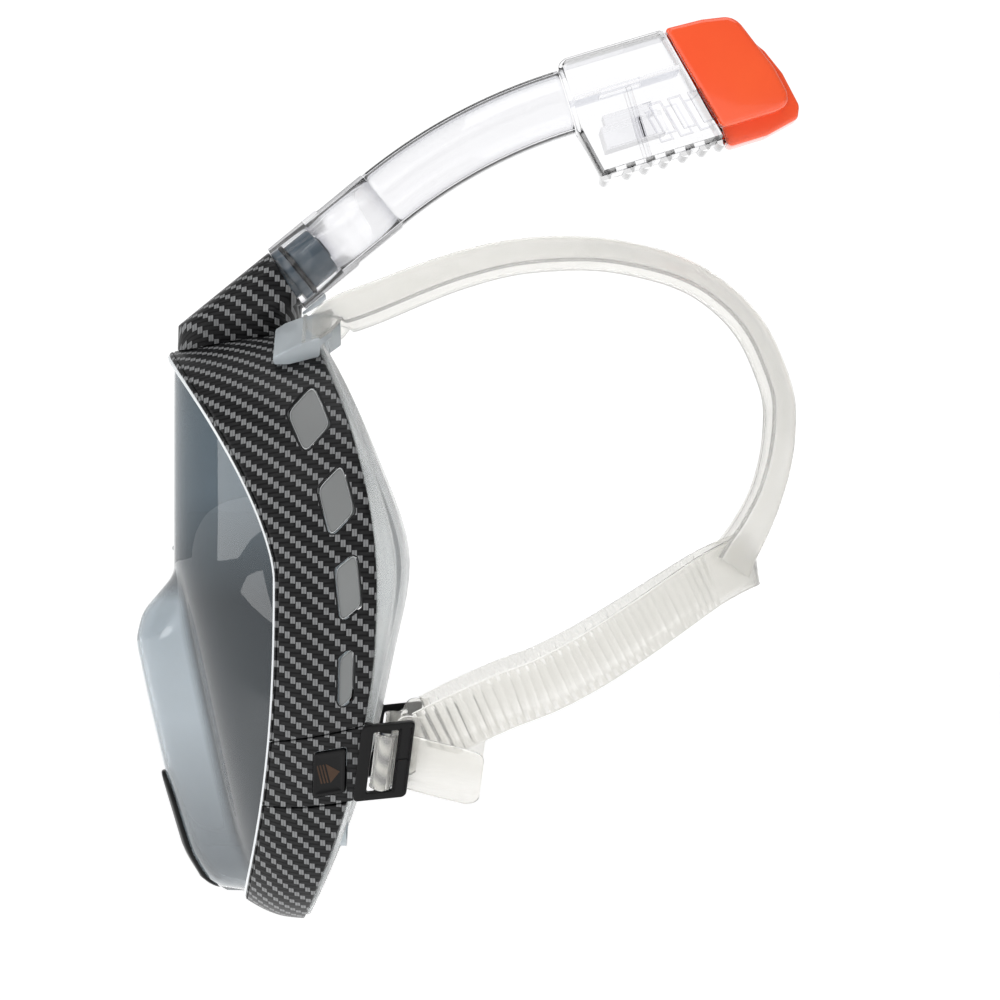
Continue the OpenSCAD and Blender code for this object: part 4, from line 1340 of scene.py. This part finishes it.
def housing():
    """Clear box of the dry top, with its side slots, its floor and the feet along its underside."""
    shell = piece("top_shell", placed(side_profile(HOUSING, TOP_W), IN_TOP), CLEAR)
    bevel(shell, 2.2, 4)
    cut(shell, placed(side_profile(HOUSING_INNER, TOP_W - 4), IN_TOP))
    cut(shell, *(slanted_slot(a, s, 0.7) for a in SLOTS_AT for s in (-1, 1)))
    cut(shell, *(top_box(-17, 17, a, a + 4.6, -40, -28) for a in TEETH_AT))
    entry = IN_TOP @ turned((0, 0.5, 0), (-90, "X"), (90, "Z"))
    cut(shell, placed(prism(stadium(TUBE_H + 2, TUBE_W + 2), 0, 8), entry))
    finish_piece(shell, "snorkel", "clear_plastic", "dry_top_housing")
    # Greyer rims round the slots: painted shade in place of the refraction at the slot walls
    rims = piece("top_slot_rims", joined(*(
        slanted_slot(a, s, 0.65, -0.05, 3.4) for a in SLOTS_AT for s in (-1, 1)
    )), SLOT_RIM_SHADE)
    cut(rims, *(slanted_slot(a, s, 0, 1, 5) for a in SLOTS_AT for s in (-1, 1)))
    finish_piece(rims, "snorkel", "clear_plastic")
    floor = piece("top_floor", joined(*(top_box(*sides, -1.4, 0.4) for sides in TOP_FLOOR)), FAINT)
    finish_piece(floor, "snorkel", "clear_plastic")
    lugs = []
    for a in LUGS_AT:
        loop = [(a + 2.4 * cosd(t), -34.6 + 2.6 * sind(t)) for t in steps(180, 360, 16)]
        lugs.append(placed(side_profile(loop, TOP_W - 9), IN_TOP))
    feet = piece("top_feet", joined(*lugs), CLEAR)
    finish_piece(feet, "snorkel", "clear_plastic")


def cap():
    """Orange cap with its lobe, hollow, cut along the seam."""
    body = piece("top_cap", placed(side_profile(CAP, TOP_W), IN_TOP), ORANGE)
    bevel(body, 2.6, 5, 20)
    lobe = piece("top_lobe", placed(side_profile(LOBE, LOBE_W), IN_TOP), ORANGE)
    bevel(lobe, 2.2, 5, 20)
    below = block(-TOP_W, TOP_W, -60, CAP_FROM, -50, 40)
    seam = placed(below, IN_TOP @ turned((0, 0, 0), (CAP_LEAN, "X")))
    hollow = placed(side_profile(CAP_INNER, TOP_W - 4.4), IN_TOP)
    lobe_hollow = placed(side_profile(LOBE_INNER, LOBE_W - 4.4), IN_TOP)
    cut(body, hollow, lobe_hollow, seam)
    cut(lobe, lobe_hollow, hollow, seam)
    finish_piece(body, "snorkel", "orange_plastic", "dry_top_cap")
    finish_piece(lobe, "snorkel", "orange_plastic")


housing()
cap()

# ---------------------------------------------------------------- strap

CROWN_PATH = [
    (43, -17, 124), (41, 1, 131), (39, 17, 137.5), (36, 34, 143.5), (33, 54, 148.5), (31, 75, 150.5),
    (29, 94, 150), (28, 113, 146.5), (27, 127, 142), (26, 138, 136), (26, 149, 127), (26, 157, 117),
    (26, 163, 105), (26, 168, 90), (26, 168.5, 76), (26, 166.5, 61), (26, 162, 46), (27, 156.5, 33),
]
# Where the arm comes out of its clip, and where it lies on the nape strap
CROWN_START = [(48.6, -29, 116), (46.4, -23.4, 119.6)]
CROWN_FOOT = [(27.5, 152, 24), (28.5, 149.5, 17)]
NAPE_PATH = [
    (83, 20, -50), (84, 33, -43.5), (82, 52, -35), (79.5, 68, -29), (75.5, 83, -21.5), (70, 95, -14.5),
    (60.5, 110, -5), (46, 128, 7), (36, 139, 14), (24, 149, 19), (12, 155.5, 21.5), (0, 157.5, 22),
]
# Middle and half-axes of the head that each strap lies on
CROWN_HEAD = ((0, 75, 60), (77, 102, 96))
NAPE_HEAD = ((0, 75, 0), (77, 102, 130))
# Section as (share of the half-width, height above the strap's middle) pairs; its edges are raised beads
STRAP_PROFILE = [
    (-1, 0.2), (-0.985, 0.62), (-0.95, 0.72), (-0.91, 0.6), (-0.885, 0.42), (-0.6, 0.42), (-0.2, 0.42),
    (0.2, 0.42), (0.6, 0.42), (0.885, 0.42), (0.91, 0.6), (0.95, 0.72), (0.985, 0.62), (1, 0.2),
    (1, -0.5), (0.97, -0.72), (0.5, -0.75), (0, -0.75), (-0.5, -0.75), (-0.97, -0.72), (-1, -0.5),
]
CUP_R = 150
RIB_H = 0.75
RIB_W = 1.5
RIB_PITCH = 4.0
RIBS_TO = 138


def strap_rows(path, head, per_gap, ribs=None, flare=None):
    """Sections of a strap along a path, its face turned to the head.

    ribs(length, p) is how raised the middle is, and flare(p) how much wider the strap is on its outer side.
    Its edges bend towards the head by CUP_R.
    """
    points = spline(path, per_gap)
    rows, length = [], 0.0
    for i, p in enumerate(points):
        before, after = points[max(i - 1, 0)], points[min(i + 1, len(points) - 1)]
        if i:
            length += (p - before).length
        along = (after - before).normalized()
        off = Vector([(p[k] - head[0][k]) / head[1][k] ** 2 for k in range(3)])
        across = along.cross(off).normalized()
        face = across.cross(along)
        raised = ribs(length, p) if ribs else 0
        row = []
        for c, f in STRAP_PROFILE:
            lift = raised if abs(c) < 0.89 and f > 0 else 0
            wide = c * STRAP_W / 2 + (flare(p) * (1 + c) / 2 if flare else 0)
            row.append(p + across * wide + face * (f + lift - wide**2 / (2 * CUP_R)))
        rows.append(row)
    return rows


def ribs_at(length, p):
    """Cross ribs on the nape strap, up to where it turns behind the head."""
    phase = length % RIB_PITCH
    return RIB_H * math.sin(math.pi * phase / RIB_W) if phase < RIB_W and p.y <= RIBS_TO else 0


def nape_taper(p):
    """The nape strap's lower edge rises at its ends, behind the buckles."""
    return -8 * max(0, (28 - p.y) / 8)


def crown_flare(p):
    """The crown arm widens outward where it runs into the nape strap."""
    return 9 * max(0, (52 - p.z) / 38) ** 1.8 if p.y > 120 else 0


for side in SIDES:
    arm = strap_rows(CROWN_START + CROWN_PATH + CROWN_FOOT, CROWN_HEAD, 6, flare=crown_flare)
    crown = piece(f"crown_strap_{SIDES[side]}", flipped(sweep(arm), side), STRAP_SKIN, sharp=60)
    finish_piece(crown, "mask", "milky_silicone", f"strap_crown_{SIDES[side]}")

full_nape = NAPE_PATH + [(-x, y, z) for x, y, z in reversed(NAPE_PATH[:-1])]
nape_rows = strap_rows(full_nape, NAPE_HEAD, 24, ribs_at, nape_taper)
nape = piece("nape_strap", sweep(nape_rows), STRAP_SKIN, sharp=60)
finish_piece(nape, "mask", "milky_silicone", "strap_nape")

STRAP_LOOP = [
    (ROLLER_V + STRAP_LOOP_R * cosd(a), -STRAP_LOOP_R * sind(a), 0, a - 90, 0) for a in steps(90, 330, 20)
]
# The end's way in the buckle's frame, from the nape strap round the roller and back along it. Each row has
# the distance to the rear and outwards, the height, the face's angle, and how much taller the section is
STRAP_END_PATH = [
    (21, -5.1, 7, 0, 0.6), (19, -4.9, 5.4, 0, 1.8), (17, -4.7, 4, 0, 3.2), (15, -4.65, 2.8, 0, 4.4),
    (13, -4.6, 1.6, 0, 5.0), (11.6, -4.45, 0.9, 0, 4.4), (10.6, -4.38, 0.6, 0, 2.8), (10, -4.3, 0.4, 0, 0.6),
    *STRAP_LOOP, (11.1, -0.2, 0, 268, 0), (11.15, -1.7, 0, 250, 0), (12.2, -2.95, 0, 210, 0),
    (14.2, -2.95, 0, 180, 0), (19, -2.8, -0.3, 180, 0), (26, -1.6, -0.9, 176, 0), (34, -0.6, -1.6, 176, 0),
    (40, -0.3, -2.1, 177, 0),
]
# The tail's round tip as (distance to the rear, share of the full width) pairs
STRAP_TIP = [(42, 0.995), (44, 0.965), (45.6, 0.91), (46.8, 0.83), (47.5, 0.74), (47.8, 0.62)]


def strap_end(side):
    """Strap's end: in under the buckle's rear bar, round the roller, and out as the tail."""
    def at(station, point):
        v, n, w, angle, taller = station
        c, f = point
        return (v - sind(angle) * f, w + c * STRAP_W / 2 + taller * (c + 1) / 2, n - cosd(angle) * f)

    rows = grid(STRAP_END_PATH, STRAP_PROFILE, at)
    for v, k in STRAP_TIP:
        rows.append([(v, c * STRAP_W / 2 * k - 2.4, f * (0.5 + k / 2) - 0.1) for c, f in STRAP_PROFILE])
    tail = side_piece("strap_tail", sweep(rows), BUCKLE, side, STRAP_SKIN, sharp=60)
    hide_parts(f"strap_end_{SIDES[side]}")
    start, end = (BUCKLE @ Vector((v, 0, 0)) for v in (24, 14))
    start.x, end.x = start.x * side, end.x * side
    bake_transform(tail)


CLIP_PLACE = turned((44, 0, 107), (31, "Y"))
CLIP_TOP = [(-42.5, 3.8), (-38, 7), (-30, 10.3), (-18, 12.2)]
CLIP_OUTLINE = [(-42, 0.7), (-23.5, 1.2), (-23, 6.4), (-18, 9.2), *reversed(CLIP_TOP)]
CLIP_CORNER = [(13.5, -38), (13.5, -16), (3.5, -16)]


def thin_band(line, a0, a1, rise):
    """Outline of a thin band on a line of length and height, between two lengths."""
    along = [a0, *(a for a, _ in line if a0 < a < a1), a1]
    over = [(a, lookup(a, line) + rise) for a in along]
    return over + [(a, lookup(a, line) - 0.6) for a in reversed(along)]


def strap_clip(side):
    """Hook with its rear outer corner cut off, and two pale bands across its top."""
    name = SIDES[side]
    body = side_piece("strap_hook", side_profile(CLIP_OUTLINE, 25), CLIP_PLACE, side, CLIP)
    corner = flipped(placed(prism(CLIP_CORNER, -12, 26), CLIP_PLACE), side)
    cut(body, corner)
    bevel(body, 0.9, 3)
    finish_piece(body, "mask", "clip_plastic", f"strap_clip_{name}")
    bands = joined(
        side_profile(thin_band(CLIP_TOP, -30.6, -28.9, 0.25), 25.2),
        side_profile(thin_band(CLIP_TOP, -26.6, -18.6, 0.45), 25.6),
    )
    trim = side_piece("strap_hook_bands", bands, CLIP_PLACE, side, STRAP_SKIN)
    cut(trim, corner)
    bevel(trim, 0.15, 2)
    finish_piece(trim, "mask", "clip_plastic")


for side in SIDES:
    strap_end(side)
    strap_clip(side)

# ---------------------------------------------------------------- CAD nodes kept as they are

KEPT = {
    "inhale_seat": CLIP, "inhale_disc": CREAM, "chin_valve_seat": BLACK, "chin_valve_disc": CREAM,
    "float_pins": CLEAR, "dry_float": FROSTED, "float_seal": FROSTED,
    "buckle_pin": STEEL, "roller_pin": STEEL,
}
for name, node in frame["nodes"].items():
    for start, material in KEPT.items():
        if name.startswith(start):
            node.data.materials.clear()
            node.data.materials.append(material)

# ---------------------------------------------------------------- floor, light and camera

FLOOR_Z = -0.45
FLOOR_GLOW = 0.62
CAMERA_AT = (2.0, 0.0504, 0.0462)
FOCAL_LENGTH = 171.4


def floor():
    g = Graph("floor_paper", Roughness=0.9, Emission_Color=(1, 1, 1, 1), Emission_Strength=FLOOR_GLOW)
    g.colour(g.mix(g.noise(3), (0.93, 0.93, 0.93), (0.97, 0.97, 0.97)))
    mesh = bpy.data.meshes.new("floor")
    fill = bmesh.new()
    bmesh.ops.create_circle(fill, cap_ends=True, radius=12, segments=96)
    fill.to_mesh(mesh)
    fill.free()
    mesh.materials.append(g.material)
    linked("floor", mesh, (0, 0, FLOOR_Z))


def world():
    """Studio's surroundings, brightest behind the object as the camera sees it."""
    made = bpy.data.worlds.new("studio")
    bpy.context.scene.world = made
    made.use_nodes = True
    tree = made.node_tree
    background = tree.nodes["Background"]
    split = tree.nodes.new("ShaderNodeSeparateXYZ")
    tree.links.new(tree.nodes.new("ShaderNodeTexCoord").outputs["Generated"], split.inputs[0])
    both = tree.nodes.new("ShaderNodeMath")
    both.operation = "MAXIMUM"
    # White behind the object, then a wide grey surround that gets darker on the camera's side
    for socket, levels in zip(both.inputs, ((-0.975, -0.86, 1.1, 0.0), (-0.9, 0.3, 0.62, 0.3))):
        ramp = tree.nodes.new("ShaderNodeMapRange")
        ramp.interpolation_type = "SMOOTHSTEP"
        for key, value in zip(("From Min", "From Max", "To Min", "To Max"), levels):
            ramp.inputs[key].default_value = value
        tree.links.new(split.outputs[0], ramp.inputs["Value"])
        tree.links.new(ramp.outputs["Result"], socket)
    tree.links.new(both.outputs[0], background.inputs["Strength"])
    background.inputs["Color"].default_value = (1, 1, 1, 1)


def softbox(name, at, towards, size, power):
    lamp = bpy.data.lights.new(name, "AREA")
    lamp.shape = "RECTANGLE"
    lamp.size, lamp.size_y = size
    lamp.energy = power
    obj = linked(name, lamp, at)
    obj.rotation_euler = (Vector(towards) - Vector(at)).to_track_quat("-Z", "Y").to_euler()


def camera():
    """Looks at the wearer's left side, square on."""
    view = bpy.data.cameras.new("camera")
    view.sensor_width = 36
    view.lens = FOCAL_LENGTH
    obj = linked("camera", view, CAMERA_AT)
    obj.rotation_euler = (math.pi / 2, 0, math.pi / 2)
    bpy.context.scene.camera = obj


floor()
world()
softbox("top_light", (0.5, 0.1, 1.7), (0, 0.03, 0.05), (1.6, 1.6), 15)
softbox("front_light", (0.5, -1.7, 0.5), (0, 0, 0.05), (0.8, 1.4), 9)
softbox("side_light", (1.7, -0.9, 0.9), (0, 0.03, 0.05), (1.0, 1.0), 5)
camera()
bpy.context.scene.view_settings.view_transform = "Standard"
